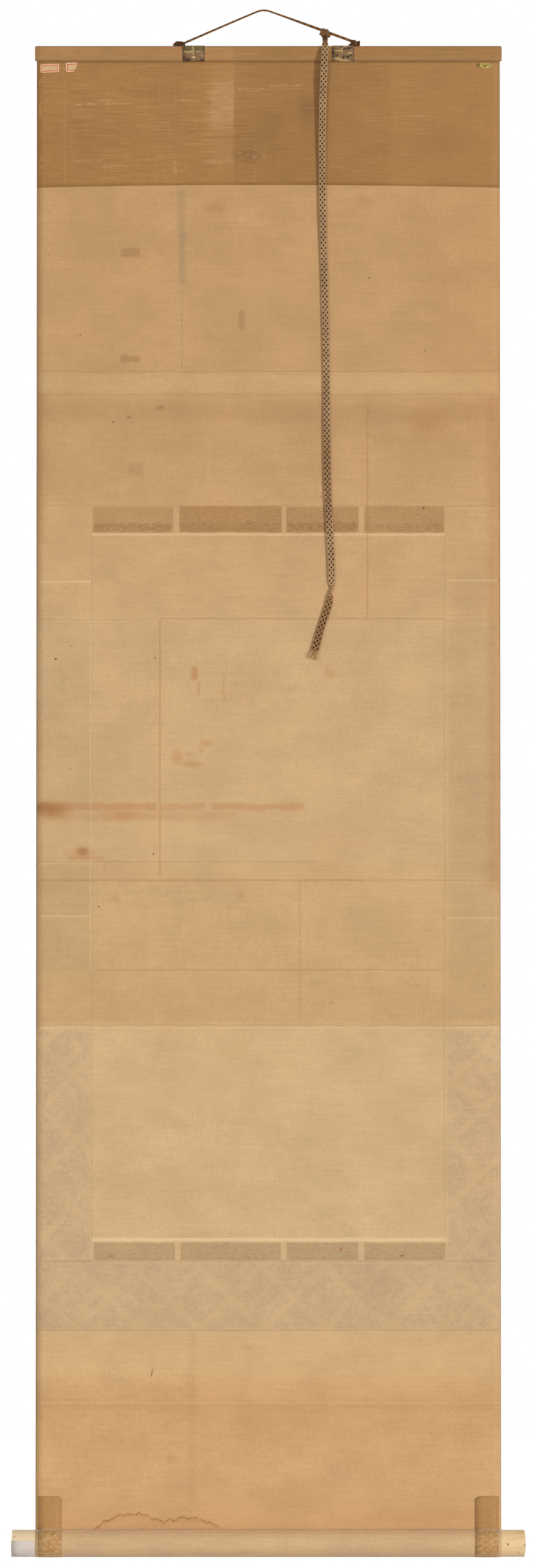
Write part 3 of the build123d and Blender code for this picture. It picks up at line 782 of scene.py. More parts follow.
# Level joins and creases: row, share of the tint, tint, columns that it runs between, width
LEVEL_LINES = (
    (611, 0.22, BROWN, LEFT, RIGHT, 0.9), (648.5, 0.14, BROWN, LEFT, RIGHT, 1.0),
    (831, 0.20, BROWN, LEFT, RIGHT, 0.8), (1016.5, 0.30, RUSSET, 262, 729, 1.8),
    (1018, 0.18, RUSSET, 61, 262, 1.0), (1021, 0.22, RUSSET, 729, 820, 1.0),
    (1415.5, 0.22, BROWN, 61, 520, 0.8), (1446, 0.36, RUSSET, 61, 600, 2.4),
    (1446, 0.24, RUSSET, 600, 820, 1.8), (1593, 0.26, RUSSET, 155, 729, 2.0),
    (1684, 0.18, BROWN, 61, 821, 1.2), (2071.3, 0.34, BROWN, 61, 821, 0.7),
    (2184.5, 0.36, BROWN, 61, 822, 0.6), (878.5, 0.42, PALE, 150, 732, 3.0),
    (956, 0.34, PALE, 64, 151, 3.0), (954, 0.30, PALE, 731, 817, 2.4), (1505, 0.30, PALE, 64, 151, 2.4),
    (1508, 0.30, PALE, 731, 818, 2.0), (1688, 0.20, PALE, 64, 820, 4.0),
    (2035.8, 0.62, PALE, 149, 734, 5.0), (2304, 0.16, PALE, 64, 820, 2.0),
)
# Upright lines: column, share, tint, rows, width
UPRIGHT_LINES = (
    (299, 0.34, GREY, 471, 608, 1.4), (603, 0.32, RUSSET, 665, 1017, 2.0),
    (262.6, 0.40, AMBER, 1017, 1442, 3.0), (492, 0.26, AMBER, 1446, 1662, 2.6),
    (151, 0.26, GREY, 878, 2038, 1.2), (729.5, 0.26, GREY, 878, 2038, 1.2),
    (149.5, 0.20, PALE, 1020, 1600, 1.4),
)
# Soft oblongs: left, right, top, foot, softness, share, tint
OBLONGS = (
    (288, 309, 306, 400, 8, 0.34, GREY), (290, 308, 380, 471, 7, 0.42, GREY),
    (196, 231, 407, 425, 5, 0.30, BROWN), (195, 233, 581, 599, 6, 0.34, BROWN),
    (388, 405, 506, 547, 7, 0.30, BROWN), (255, 272, 664, 676, 5, 0.34, BROWN),
    (205, 240, 757, 786, 9, 0.20, BROWN), (311, 327, 1093, 1120, 5, 0.50, ORANGE),
    (322, 330, 1120, 1146, 4, 0.40, ORANGE), (364, 372, 1104, 1152, 5, 0.24, ORANGE),
    (61, 151, 1018, 1416, 6, 0.13, GREY), (61, 151, 1416, 1600, 8, 0.16, GREY),
    (731, 820, 1446, 1680, 10, 0.14, GREY), (731, 820, 1022, 1446, 10, 0.16, GREY),
    (152, 262, 1018, 1446, 6, 0.05, RUSSET), (112, 172, 1404, 1415, 6, 0.30, ORANGE),
    (304, 326, 2180, 2470, 8, 0.07, BROWN), (61, 262, 1316, 1334, 6, 0.42, ORANGE),
    (262, 340, 1317, 1333, 6, 0.30, ORANGE), (344, 504, 1316, 1334, 7, 0.38, ORANGE),
    (61, 400, 1328, 1354, 20, 0.22, ORANGE), (61, 820, 2294, 2324, 14, 0.10, RUSSET),
    (600, 822, 2468, 2509, 26, 0.12, RUSSET), (61, 820, 656, 700, 16, 0.10, BROWN),
    (736, 830, 900, 1440, 20, 0.07, (0.64, 0.45, 0.27)), (792, 834, 640, 1470, 20, 0.30, TAN),
    (54, 84, 640, 900, 16, 0.20, TAN),
)
# Oval marks: column, row, half width, half height, softness, share, tint
OVALS = (
    (396, 360, 6, 7, 0.9, 0.20, PALE), (606, 457, 2.2, 1.8, 0.6, 0.7, DARK),
    (351, 342, 26, 14, 0.9, 0.20, BROWN), (702, 696, 52, 34, 0.9, 0.26, RUSSET),
    (600, 330, 22, 12, 0.9, 0.16, BROWN), (212, 686, 5, 3, 0.6, 0.5, BROWN),
    (92, 1083, 2, 2, 0.4, 0.9, DARK), (186, 694, 1.6, 1.6, 0.4, 0.8, DARK),
    (255, 1081, 1.4, 1.4, 0.4, 0.8, DARK), (252, 1403, 1.6, 1.8, 0.4, 0.8, DARK),
    (162, 1489, 1.6, 1.8, 0.4, 0.8, DARK), (118, 1061, 1.6, 1.2, 0.4, 0.7, DARK),
    (698, 577, 1.6, 1.4, 0.4, 0.7, DARK), (132, 551, 1.4, 1.6, 0.4, 0.7, DARK),
    (81, 419, 1.4, 1.2, 0.4, 0.7, DARK), (695, 835, 3, 3, 0.6, 0.6, DARK),
    (116, 1263, 5, 2.4, 0.7, 0.4, RUSSET), (78, 1330, 52, 20, 0.9, 0.66, (0.60, 0.38, 0.19)),
    (205, 1340, 46, 14, 0.9, 0.36, ORANGE), (134, 1401, 34, 16, 1.0, 0.46, ORANGE),
    (136, 1399, 13, 11, 0.9, 0.44, BROWN), (291, 1243, 15, 17, 0.7, 0.34, ORANGE),
    (316, 1256, 26, 9, 0.7, 0.36, ORANGE), (310, 1238, 10, 7, 0.7, 0.22, ORANGE),
    (340, 1222, 16, 9, 0.8, 0.36, ORANGE), (330, 1234, 8, 12, 0.8, 0.22, ORANGE),
    (541, 1105, 13, 20, 0.9, 0.26, ORANGE), (190, 1476, 10, 12, 0.8, 0.22, RUSSET),
    (395, 1470, 14, 12, 0.9, 0.20, RUSSET), (516, 1614, 14, 8, 0.9, 0.22, GREY),
    (545, 1648, 7, 6, 0.8, 0.24, RUSSET), (410, 2213, 24, 9, 0.9, 0.16, RUSSET),
    (280, 2395, 12, 12, 0.9, 0.20, RUSSET), (560, 2052, 4, 6, 0.7, 0.5, (0.6, 0.3, 0.22)),
    (182, 2062, 7, 4, 0.7, 0.4, (0.55, 0.3, 0.22)), (660, 2062, 5, 2, 0.5, 0.5, DARK),
)
# Half width below which a mark keeps a crisper edge
SMALL_MARK = 7
# The accent strips, as they show through: columns, rows, shares of their tint and of their shadow
STRIPS = (
    (151.5, 286, 832, 876.5, 0.34, 0.42), (293.5, 463.5, 831, 876, 0.50, 0.22),
    (469, 589.5, 832, 876, 0.43, 0.40), (596.5, 730.5, 831, 876.5, 0.40, 0.24),
    (153, 288.5, 2040, 2070.3, 0.42, 0.16), (295.5, 462, 2040, 2070.3, 0.42, 0.16),
    (469.6, 589, 2040, 2070.3, 0.42, 0.16), (597, 732, 2040, 2070.3, 0.42, 0.16),
)
# Where the border's two sides begin to show through
BORDER_ROW = 1690


def strips_through(paint, near, ragged, patchy):
    """The accent strips, which show through darker, with a broken shadow at their feet."""
    weave = paint.grain((150, 150, 760), detail=4, rough=0.7)
    for left, right, top, foot, share, shadow in STRIPS:
        tint, rise = ((0.53, 0.335, 0.11), 20) if top < BORDER_ROW else ((0.51, 0.42, 0.27), 6)
        strip = near.field(left, right, top, foot, 2.0)
        paint.stain(strip, weave.fade(0.25, 0.75, share * 0.5, share * 1.3), tint)
        paint.stain(ragged.field(left, right, foot - rise, foot, 7.0) * patchy, shadow, (0.47, 0.29, 0.15))


def border_through(paint, near, patchy):
    """The figured silk below and beside the picture: crossing wavy ribbons and the blotches between."""
    low, left, right = (near.field(*shape) for shape in (
        (LEFT, 822, 2073, 2184, 3), (LEFT, 151, BORDER_ROW, 2184, 6), (731, 822, BORDER_ROW, 2184, 6)))
    place = paint.wander(14 * MM, 13)
    ribbons = []
    for way in (1, -1):
        wave = paint.math("SINE", (place.x + place.z * way) * (2 * math.pi / 0.148))
        ribbons.append(abs(wave).fade(0.10, 0.36))
    blotch = paint.grain((75, 75, 75), detail=4, rough=0.65).fade(0.36, 0.58)
    silk = low | (left | right)
    paint.stain(silk * (ribbons[0] * ribbons[1] * blotch) * patchy, 0.36, MAUVE)
    paint.stain(silk, 0.10, MAUVE)


def tide(paint, patchy):
    """The ragged tide line of a water stain, just above the crease."""
    heave = paint.grain((120, 0, 0), detail=5, rough=0.66)
    notch = paint.grain((420, 0, 0), rough=0.6) * (8 * MM)
    rise = []
    for x, half, high in ((219, 62, 24), (305, 58, 17)):
        share = (paint.x - px(x)) / (half * PIXEL)
        rise.append((1.0 - share * share) * (high * PIXEL))
    over = paint.z - ((rise[0] | rise[1]) + heave * (17 * MM) + notch + (pz(2512) - 10.8 * MM))
    span = Place(paint.x, paint.z).field(150, 361, 2470, 2519, 4)
    paint.stain(over.fade(0.3 * MM, -0.6 * MM) * span, 0.10, RUSSET)
    rim = over.fade(0.3 * MM, -0.3 * MM) * over.fade(-6 * MM, -0.5 * MM)
    paint.stain(rim * span, 0.30, ORANGE)
    line = abs(over).fade(0.25 * MM, 1.1 * MM, 1.0, 0.0)
    paint.stain(line * span * patchy, 0.85, (0.44, 0.26, 0.13))


def worn_sides(paint):
    """The sheet's worn side edges, dotted dark further down."""
    half = abs(paint.x - MIDDLE_X) - HALF_AT_COVER
    inset = half - paint.z.fade(CREASE_Z, COVER_FOOT_Z, HALF_AT_CREASE - HALF_AT_COVER, 0.0)
    paint.stain(inset.fade(-1.3 * MM, -0.2 * MM), 0.45, (0.50, 0.30, 0.15))
    dots = paint.grain((300, 300, 520), detail=2).fade(0.46, 0.54) * paint.z.fade(pz(640), pz(900))
    paint.stain(inset.fade(-1.0 * MM, -0.5 * MM) * dots, 0.75, DARK)


def finish_paper():
    """The whole back: the papers' tones, their joins, creases, stains and worn edges."""
    paint = Paint("Backing paper", roughness=0.86)
    paint.colour = paper_tones(paint)
    fibre = paper_mottle(paint)
    near, ragged = paint.wander(0.9 * MM, 45), paint.wander(4.2 * MM, 55)
    patchy = paint.grain((260, 260, 330), rough=0.65).fade(0.30, 0.62)
    warm = paint.grain((5, 5, 7), rough=0.6)
    right_side = paint.x.fade(px(640), px(810)) * paint.z.fade(pz(860), pz(560))
    paint.stain(right_side | warm.fade(0.55, 0.75), 0.16, (0.76, 0.54, 0.32))
    paint.stain(warm.fade(0.42, 0.28), 0.14, GREY)
    strips_through(paint, near, ragged, patchy)
    border_through(paint, near, patchy)
    for *shape, share, tint in OBLONGS:
        paint.stain(ragged.field(*shape), share, tint)
    for *shape, share, tint in OVALS:
        paint.stain((near if shape[2] < SMALL_MARK else ragged).spot(*shape), share, tint)
    for row, share, tint, left, right, width in LEVEL_LINES:
        paint.stain(near.rule(left, row, right, row, width), share, tint)
    for column, share, tint, top, foot, width in UPRIGHT_LINES:
        paint.stain(near.rule(column, top, column, foot, width), share, tint)
    paint.stain(paint.wander(0.1 * MM).rule(251, 2247, 248, 2262, 0.5, 0.7), 0.8, DARK)
    tide(paint, patchy)
    paint.stain(paint.grain((430, 430, 430), detail=1).fade(0.775, 0.80), 0.55, DARK)
    paint.stain(paint.grain((240, 240, 420), detail=1).fade(0.77, 0.80), 0.28, PALE)
    worn_sides(paint)
    rough = paint.grain((14, 14, 20), detail=4, rough=0.6)
    return paint.done(rough + fibre * 0.16, 1.3 * MM)


def finish_silk(name, base, weave=3200.0, contrast=0.10, marks=None, streak=0.06):
    """Plain woven silk with its threads, slubs and wear."""
    paint = Paint(name, base, roughness=0.62, sheen=0.25)
    warp = paint.grain((weave, weave, 260), detail=1)
    weft = paint.grain((200, 200, weave), detail=1)
    slub = paint.grain((26, 26, 900), rough=0.65)
    cloud = paint.grain((12, 12, 16), detail=5, rough=0.6)
    for part, spread in ((cloud, 0.06), (slub, streak), (warp, contrast), (weft, contrast)):
        paint.tone(part, 1 - spread, 1 + spread)
    if marks:
        marks(paint)
    return paint.done((warp + weft) * 0.1 + cloud, 0.8 * MM)


# Worn threads of the cover silk: a line's columns and rows, its width and share
COVER_LINES = (
    (122, 172, 216, 171, 1.0, 0.55), (385, 146.5, 436, 147, 1.6, 0.65), (118, 264.5, 170, 264, 4.0, 0.32),
    (330, 266, 386, 265, 3.2, 0.40), (205, 146, 246, 146, 1.0, 0.40), (296, 166, 330, 165.5, 1.2, 0.45),
    (345, 139, 384, 138, 1.4, 0.40), (440, 142, 500, 141, 1.8, 0.35), (428, 252, 436, 262, 1.2, 0.50),
    (412, 248, 432, 246, 1.2, 0.55), (284, 262, 290, 290, 3.0, 0.25), (105.5, 112, 107, 300, 1.6, 0.22),
)
# Dark clouds of the cover silk: column, row, half width, half height, share
COVER_CLOUDS = (
    (408, 254, 34, 22, 0.50), (503, 180, 22, 34, 0.36), (240, 150, 60, 16, 0.22),
    (720, 235, 80, 40, 0.16), (130, 230, 60, 60, 0.12), (440, 205, 50, 60, 0.16),
)


def cover_fields(paint, near, ragged, threads):
    """The cover's three fields of tone: pale and torn at the left of its upright seam, dark, then warm."""
    torn = near.x + (threads - 0.5) * (44 * MM)
    pale = torn.fade(px(336), px(352)) * near.x.fade(px(385.2), px(383.6))
    pale = pale * paint.grain((60, 60, 700), detail=4, rough=0.7).fade(0.34, 0.60, 0.25, 1.0)
    paint.stain(pale * ragged.field(300, 400, 128, 222, 22), 0.44, (0.77, 0.60, 0.41))
    paint.stain(pale * ragged.field(300, 400, 96, 290, 24), 0.16, (0.77, 0.60, 0.41))
    dark = near.x.fade(px(383.6), px(385.2)) * paint.x.fade(px(650), px(470), 0.4, 1.0)
    paint.stain(dark, 0.24, (0.53, 0.365, 0.20))
    paint.stain(paint.x.fade(px(632), px(650)), 0.20, (0.74, 0.54, 0.32))


def cover_marks(paint):
    """Wear of the brown silk on the back of the top, and a painted shadow along the seam at its top."""
    ragged, near = paint.wander(5 * MM, 40), paint.wander(1.2 * MM, 120)
    streaks = paint.grain((20, 20, 560), detail=4, rough=0.68)
    zone = paint.grain((9, 9, 14), rough=0.6).fade(0.42, 0.66)
    threads = paint.grain((9, 9, 620), rough=0.7)
    cover_fields(paint, near, ragged, threads)
    for shape in ((430, 150, 120, 26), (250, 262, 120, 22), (300, 210, 150, 90), (640, 150, 90, 30)):
        zone = zone | ragged.spot(*shape, 0.8)
    paint.stain(zone * streaks.fade(0.52, 0.68), 0.40, (0.82, 0.65, 0.44))
    paint.stain(zone * streaks.fade(0.42, 0.28), 0.34, (0.49, 0.33, 0.18))
    paint.stain(ragged.spot(384, 220, 58, 26, 0.7) * threads.fade(0.46, 0.36), 0.55, (0.44, 0.29, 0.15))
    uprights = paint.grain((420, 420, 14), rough=0.6)
    paint.stain(uprights.fade(0.56, 0.74), 0.16, (0.76, 0.58, 0.38))
    paint.stain(uprights.fade(0.44, 0.28), 0.14, (0.50, 0.34, 0.19))
    broken = paint.grain((130, 130, 800), detail=4, rough=0.7).fade(0.46, 0.60)
    for *shape, share in COVER_LINES:
        paint.stain(near.rule(*shape, 1.6) * broken, share, (0.84, 0.68, 0.47))
    for *shape, share in COVER_CLOUDS:
        paint.stain(ragged.spot(*shape, 0.9), share, (0.46, 0.31, 0.17))
    flecks = paint.grain((150, 150, 420), detail=4, rough=0.7).fade(0.54, 0.62)
    paint.stain(ragged.spot(415, 252, 34, 16, 0.6) * flecks, 0.42, (0.82, 0.66, 0.46))
    edge = near.field(64, 68.5, 110, 300, 1.5) * paint.grain((500, 500, 160)).fade(0.52, 0.66)
    paint.stain(edge, 0.42, (0.84, 0.70, 0.50))
    worn = ragged.spot(224, 120, 44, 26, 0.7) | ragged.spot(300, 205, 60, 50, 0.8)
    paint.stain(worn * paint.grain((420, 420, 300), detail=2).fade(0.66, 0.72), 0.55, (0.36, 0.22, 0.12))
    paint.stain(worn * paint.grain((300, 300, 620), detail=2).fade(0.68, 0.74), 0.40, (0.84, 0.68, 0.46))
    reach = abs(paint.x - MIDDLE_X)
    paint.stain(reach.fade(HALF_AT_COVER - 1.5 * MM, HALF_AT_COVER - 0.3 * MM), 0.50, (0.38, 0.23, 0.12))
    # Painted shadow of the wrap's edge along the top of the cover, under the seam.
    paint.stain(paint.z.fade(SEAM_Z - 1.3 * MM, SEAM_Z - 0.2 * MM), 0.5, (0.34, 0.21, 0.12))


# Marks of the silk over the stave: column, row, half width, half height, share
PINK_SMEARS = ((264, 81.6, 10, 1.6, 0.42), (282, 80.5, 34, 3.0, 0.20), (296, 80, 6, 5, 0.26),
               (582.6, 80, 1.6, 7, 0.55), (600, 80, 22, 2.4, 0.34))
WRAP_FLECKS = ((97, 88.5, 3.0, 0.9, 0.6), (282, 84, 1.4, 0.8, 0.5), (247, 92, 1.2, 0.7, 0.6),
               (236, 99, 1.4, 0.7, 0.6), (618, 78.6, 1.2, 0.8, 0.7), (184, 80, 1.0, 0.6, 0.5))


def wrap_marks(paint):
    """Wear of the silk over the stave, most of it on the back alone, with a painted shadow along the seam at its
    foot and a darker band along its top edge.
    """
    near = paint.wander(2 * MM, 60)
    back = paint.y.fade(0.5 * MM, -3.0 * MM)
    paint.stain(paint.x.fade(px(381), px(386)) * back, 0.34, (0.53, 0.37, 0.15))
    band = paint.grain((7, 7, 260), detail=4, rough=0.7)
    paint.stain(band.fade(0.56, 0.70), 0.34, (0.50, 0.345, 0.19))
    paint.stain(band.fade(0.44, 0.32), 0.30, (0.78, 0.61, 0.40))
    for *shape, share in PINK_SMEARS:
        paint.stain(near.spot(*shape, 0.8) * back, share, (0.72, 0.33, 0.30))
    for *shape, share in WRAP_FLECKS:
        paint.stain(near.spot(*shape, 0.7) * back, share, (0.36, 0.24, 0.14))
    paint.stain(paint.z.fade(BOW_TOP_Z - 1.8 * MM, BOW_TOP_Z - 0.8 * MM) * back, 0.55, (0.40, 0.26, 0.12))
    # Painted shadow along the seam at the wrap's foot.
    paint.stain(paint.z.fade(SEAM_Z + 1.0 * MM, SEAM_Z + 0.2 * MM) * back, 0.42, (0.38, 0.24, 0.14))


def finish_figured(name, base, pale, dark, scale=1.0):
    """Figured silk: a plain traditional fret of diagonals with stepped ribbons on a twill ground."""
    paint = Paint(name, base, roughness=0.55, sheen=0.3)
    warp = paint.grain((3000, 3000, 260), detail=1)
    twill = paint.grain((1500, 1500, 1500), detail=0, turn=0.8)
    cloud = paint.grain((14, 14, 18), detail=5, rough=0.6)
    paint.tone(cloud, 0.93, 1.05)
    size = 34.0 * scale
    first = paint.grain((size, size, size), detail=0, distort=1.6, turn=0.7)
    ribbon = first.fade(0.44, 0.46) * first.fade(0.56, 0.54)
    lattice = []
    for way in (-1, 1):
        count = paint.node("ShaderNodeTexWave", wave_type="BANDS", bands_direction="X")
        paint.link(paint.stretched((1.0, 1.0, 1.0), turn=way * math.radians(45)), count.inputs["Vector"])
        count.inputs["Scale"].default_value = 26.0 * scale
        lattice.append(Value(paint, count.outputs["Fac"]).fade(0.86, 0.94))
    paint.stain(lattice[0] | lattice[1], 0.35, dark)
    paint.stain(ribbon, 0.55, pale)
    paint.tone(warp, 0.92, 1.08)
    paint.tone(twill, 0.96, 1.04)
    return paint.done(warp * 0.12 + cloud, 0.8 * MM)


def worn_brocade(name, ground, gold):
    """Brocade worn down to broken level threads: its paint, its relief, and a way to add broken marks."""
    paint = Paint(name, ground, roughness=0.65, sheen=0.15)
    cloud = paint.grain((150, 150, 150), detail=4, rough=0.7)
    weft = paint.grain((260, 260, 1500), rough=0.7)
    bits = paint.grain((620, 620, 980), rough=0.65)
    paint.tone(cloud, 0.76, 1.16)
    paint.tone(weft, 0.80, 1.18)
    paint.stain(weft.fade(0.54, 0.62) * bits.fade(0.44, 0.56), 0.70, gold)
    paint.lay(bits.fade(0.40, 0.30, 0.0, 0.45), tuple(0.5 * v for v in ground))

    def remains(mask, share, tint, low, high):
        paint.stain(mask * bits.fade(low, high), share, tint)

    return paint, weft + bits, remains


def dark_sides(paint, near, fields, share, tint):
    for shape in fields:
        paint.stain(near.field(*shape, 0.6), share, tint)


def finish_olive():
    """The left streamer: olive at its end, then a worn gold thread and brown, with a pale broken seam."""
    paint, relief, remains = worn_brocade("Olive brocade", (0.53, 0.405, 0.265), (0.74, 0.61, 0.40))
    near = paint.wander(1.0 * MM, 420)
    front = paint.y.fade(3 * MM, 5 * MM)
    bands = paint.math("SINE", near.z * (2 * math.pi / 0.052)).fade(-0.25, 0.15)
    olive = near.z.fade(pz(85.6), pz(84.2)) | front * bands
    paint.stain(olive, 0.86, (0.375, 0.32, 0.16))
    remains(olive, 0.7, (0.72, 0.62, 0.38), 0.62, 0.68)
    remains(near.field(301, 316, 84.6, 87.8, 1.0), 0.85, (0.82, 0.70, 0.46), 0.36, 0.50)
    remains(near.field(321, 333, 84.2, 87.4, 1.2), 0.7, (0.78, 0.66, 0.44), 0.42, 0.54)
    remains(near.rule(317.3, 76, 317.3, 92, 2.2), 0.85, (0.84, 0.74, 0.50), 0.44, 0.54)
    remains(near.spot(318.5, 95.4, 4.0, 2.6), 0.9, (0.85, 0.76, 0.54), 0.38, 0.50)
    remains(near.spot(333, 92.5, 3.0, 2.0), 0.7, (0.80, 0.70, 0.48), 0.40, 0.52)
    for *shape, share in ((308, 99.0, 8.5, 3.4, 0.9), (302, 95, 3.4, 3.4, 0.7), (331.5, 100, 4.4, 3.6, 0.75)):
        remains(near.spot(*shape), share, (0.20, 0.11, 0.09), 0.30, 0.46)
    sides = ((299.5, 301.2, 74, 103), (333.9, 336, 74, 103), (300, 335, 101.3, 103))
    dark_sides(paint, near, sides, 0.55, (0.22, 0.13, 0.07))
    return paint.done(relief, 0.25 * MM, 0.6)


# The right streamer's gold threads (left, row, right) and the remains of its figure (ovals)
GOLD_THREADS = ((545, 84.6, 562), (545, 88.0, 552), (545, 96.7, 561), (548, 99.3, 570), (556, 101.2, 578),
                (564, 77.4, 570), (570, 88.6, 579))
FIGURE_REMAINS = ((545.8, 82.2, 1.7, 2.6), (547.6, 88.0, 3.2, 3.6), (554, 92, 1.8, 1.5),
                  (559.6, 78.4, 2.2, 1.0), (565.8, 81.6, 2.6, 1.7), (571.4, 80.6, 2.6, 2.0),
                  (575.8, 80.0, 2.4, 1.8), (564.2, 95.2, 1.8, 3.2), (570.6, 94.0, 3.6, 2.6),
                  (575.6, 91.9, 2.8, 2.0))


def finish_grey():
    """The right streamer: greyish brown with level gold threads and blue-black remains of its figure."""
    paint, relief, remains = worn_brocade("Grey brocade", (0.52, 0.39, 0.255), (0.74, 0.60, 0.385))
    near = paint.wander(1.2 * MM, 420)
    front = paint.y.fade(3 * MM, 5 * MM) * paint.grain((150, 150, 260)).fade(0.56, 0.60)
    remains(front, 0.8, (0.16, 0.12, 0.12), 0.36, 0.48)
    for left, row, right in GOLD_THREADS:
        paint.stain(near.rule(left, row, right, row, 0.9), 0.8, (0.82, 0.70, 0.46))
    paint.stain(near.rule(562, 77, 562, 91, 1.0), 0.35, (0.80, 0.69, 0.48))
    for x, y, half_x, half_y in FIGURE_REMAINS:
        remains(near.spot(x, y, half_x + 0.5, half_y + 0.5, 0.4), 0.95, (0.11, 0.09, 0.11), 0.40, 0.47)
    sides = ((543, 544.4, 74, 104), (579.4, 582, 74, 104), (544, 581, 102.4, 104))
    dark_sides(paint, near, sides, 0.5, (0.24, 0.14, 0.09))
    return paint.done(relief, 0.25 * MM, 0.6)


def finish_wood(name, base, spots=()):
    """Turned or planed wood whose grain runs along the scroll's width, the left knob's paler."""
    paint = Paint(name, base, roughness=0.5, specular=0.4)
    figure = paint.grain((16, 160, 160), detail=4, rough=0.6, distort=0.6)
    pore = paint.grain((60, 1500, 1500), detail=2, rough=0.6)
    paint.tone(paint.grain((30, 30, 30), detail=4), 0.95, 1.04)
    paint.lay(figure.fade(0.52, 0.72, 0.0, 0.35), (0.62, 0.43, 0.24))
    paint.lay(pore.fade(0.60, 0.78, 0.0, 0.30), (0.62, 0.43, 0.24))
    paint.lay(paint.x.fade(px(200), px(100), 0.0, 0.5), (0.90, 0.83, 0.70))
    place = paint.wander(0.7 * MM, 200)
    for *shape, share in spots:
        paint.stain(place.spot(*shape), share, (0.34, 0.20, 0.10))
    return paint.done(pore, 0.12 * MM, 0.4)


def start_yarn(name, base, dark):
    """Twisted yarn, on a strand's own width and length, with painted shade along its sides where it turns in
    under the others.
    """
    paint = Paint(name, base, roughness=0.85, specular=0.12)
    ply = paint.grain((7, 1400, 0), detail=1, where=paint.flat, turn=0.5)
    hair = paint.grain((1600, 1600, 700), detail=2)
    paint.tone(paint.grain((60, 60, 40)), 0.84, 1.12)
    paint.lay(ply.fade(0.55, 0.75, 0.0, 0.30), dark)
    paint.tone(hair, 0.86, 1.1)
    # Painted shade: each strand's sides, where it turns in under the others, darken toward 0.42 of its colour.
    turned = abs(paint.axes(paint.flat)[0] - 0.25)
    paint.lay(turned.fade(0.09, 0.22, 0.0, 0.85), tuple(0.42 * v for v in base))
    return paint, ply


def finish_braid():
    """The winding cord's yarn: bleached, darker at the hitch, with painted shade in the hollow at its neck, and
    redder toward its end.
    """
    paint, ply = start_yarn("Winding cord", chosen("braid"), (0.50, 0.37, 0.23))
    z = paint.z
    paint.stain(z.fade(pz(680), pz(745)) * z.fade(pz(880), pz(820)), 0.42, (0.56, 0.38, 0.22))
    paint.stain(z.fade(pz(955), pz(985)), 0.55, (0.58, 0.37, 0.18))
    paint.stain(z.fade(pz(84), pz(66)), 0.74, (0.37, 0.215, 0.105))
    # Painted shade in the hollow at the hitch's neck, where its two turns draw together.
    neck = paint.wander(0.6 * MM, 300).spot(533.2, 62.5, 5.2, 5.2, 0.8)
    paint.stain(neck, 0.88, (0.20, 0.11, 0.06))
    return paint.done(ply, 0.12 * MM)


def finish_yarn(name, base, dark):
    paint, ply = start_yarn(name, base, dark)
    return paint.done(ply, 0.1 * MM)


def finish_metal():
    paint = Paint("Eyelet metal", (0.42, 0.34, 0.22), roughness=0.42, metallic=0.9, specular=0.5)
    tarnish = paint.grain((800, 800, 800), detail=4, rough=0.6)
    paint.lay(tarnish.fade(0.35, 0.65), (0.20, 0.16, 0.12))
    paint.link(tarnish.fade(0.3, 0.7, 0.32, 0.65), paint.shader.inputs["Roughness"])
    return paint.done(tarnish, 0.05 * MM, 0.4)


def finish_label(name, size, middle=(0.0, 0.0)):
    """A small paper label with a printed border, on its own flat coordinates."""
    paint = Paint(name, chosen("label"), roughness=0.75)
    axes = paint.axes(paint.flat)
    blot = paint.grain((420, 420, 420), rough=0.6)
    gap = [length / 2 - abs(place - centre) for place, length, centre in zip(axes, size, middle)]
    near = paint.math("MINIMUM", *gap) + (blot - 0.5) * (0.5 * MM)
    paint.lay(near.fade(2.0 * MM, 1.6 * MM), (0.96, 0.84, 0.68))
    paint.tone(blot, 0.93, 1.05)
    border = near.fade(0.85 * MM, 1.1 * MM) * near.fade(2.1 * MM, 1.85 * MM)
    paint.stain(border * blot.fade(0.22, 0.40, 0.55, 1.0), 0.92, chosen("label_red"))
    return paint.done(blot, 0.1 * MM, 0.4)


def finish_slip():
    """Yellowed paper, with painted shade in its folds, a painted highlight along its edges, and darker at its
    left end.
    """
    paint = Paint("Slip paper", chosen("slip", 0.72), roughness=0.7)
    blot = paint.grain((260, 260, 420), rough=0.6)
    crease = paint.grain((140, 140, 900), rough=0.65, distort=0.5)
    edge = abs(paint.axes(paint.flat)[1]) + blot * 0.3
    paint.lay(blot.fade(0.35, 0.65), chosen("slip"))
    # Painted highlight along the slip's edges.
    paint.lay(edge.fade(0.90, 1.04, 0.0, 0.7), (0.92, 0.82, 0.56))
    # Painted shade in the slip's folds.
    paint.lay(crease.fade(0.45, 0.37, 0.0, 0.9), (0.17, 0.10, 0.04))
    paint.lay(paint.x.fade(px(789.5), px(786.5), 0.0, 0.6), (0.34, 0.22, 0.09))
    return paint.done(blot, 0.2 * MM)


def finish_knob_label():
    paint = Paint("Knob label paper", (0.82, 0.77, 0.73), roughness=0.7)
    blot = paint.grain((120, 120, 120), detail=4, rough=0.6)
    paint.tone(blot, 0.95, 1.04)
    paint.lay(blot.fade(0.60, 0.75, 0.0, 0.3), (0.72, 0.60, 0.46))
    return paint.done(blot, 0.1 * MM, 0.4)


def finish_picture():
    """The picture's bare ground, mottled and creased."""
    paint = Paint("Picture ground", chosen("picture"))
    fibre = paper_mottle(paint, 1.3)
    paint.lay(paint.grain((30, 30, 30), detail=5, rough=0.62).fade(0.52, 0.78, 0.0, 0.30), (0.58, 0.46, 0.30))
    creases = paint.grain((3, 3, 120), detail=4, rough=0.6)
    paint.lay(creases.fade(0.62, 0.72, 0.0, 0.22), (0.50, 0.38, 0.24))
    return paint.done(creases * 0.6 + fibre, 0.5 * MM)


# Pieces


def hanging_taper(share):
    """The hanging cord is thinner past its left knot and thicker toward its right one."""
    return 0.94 - 0.14 * ease(2.4 * share) + 0.35 * ease((share - 0.52) / 0.28)


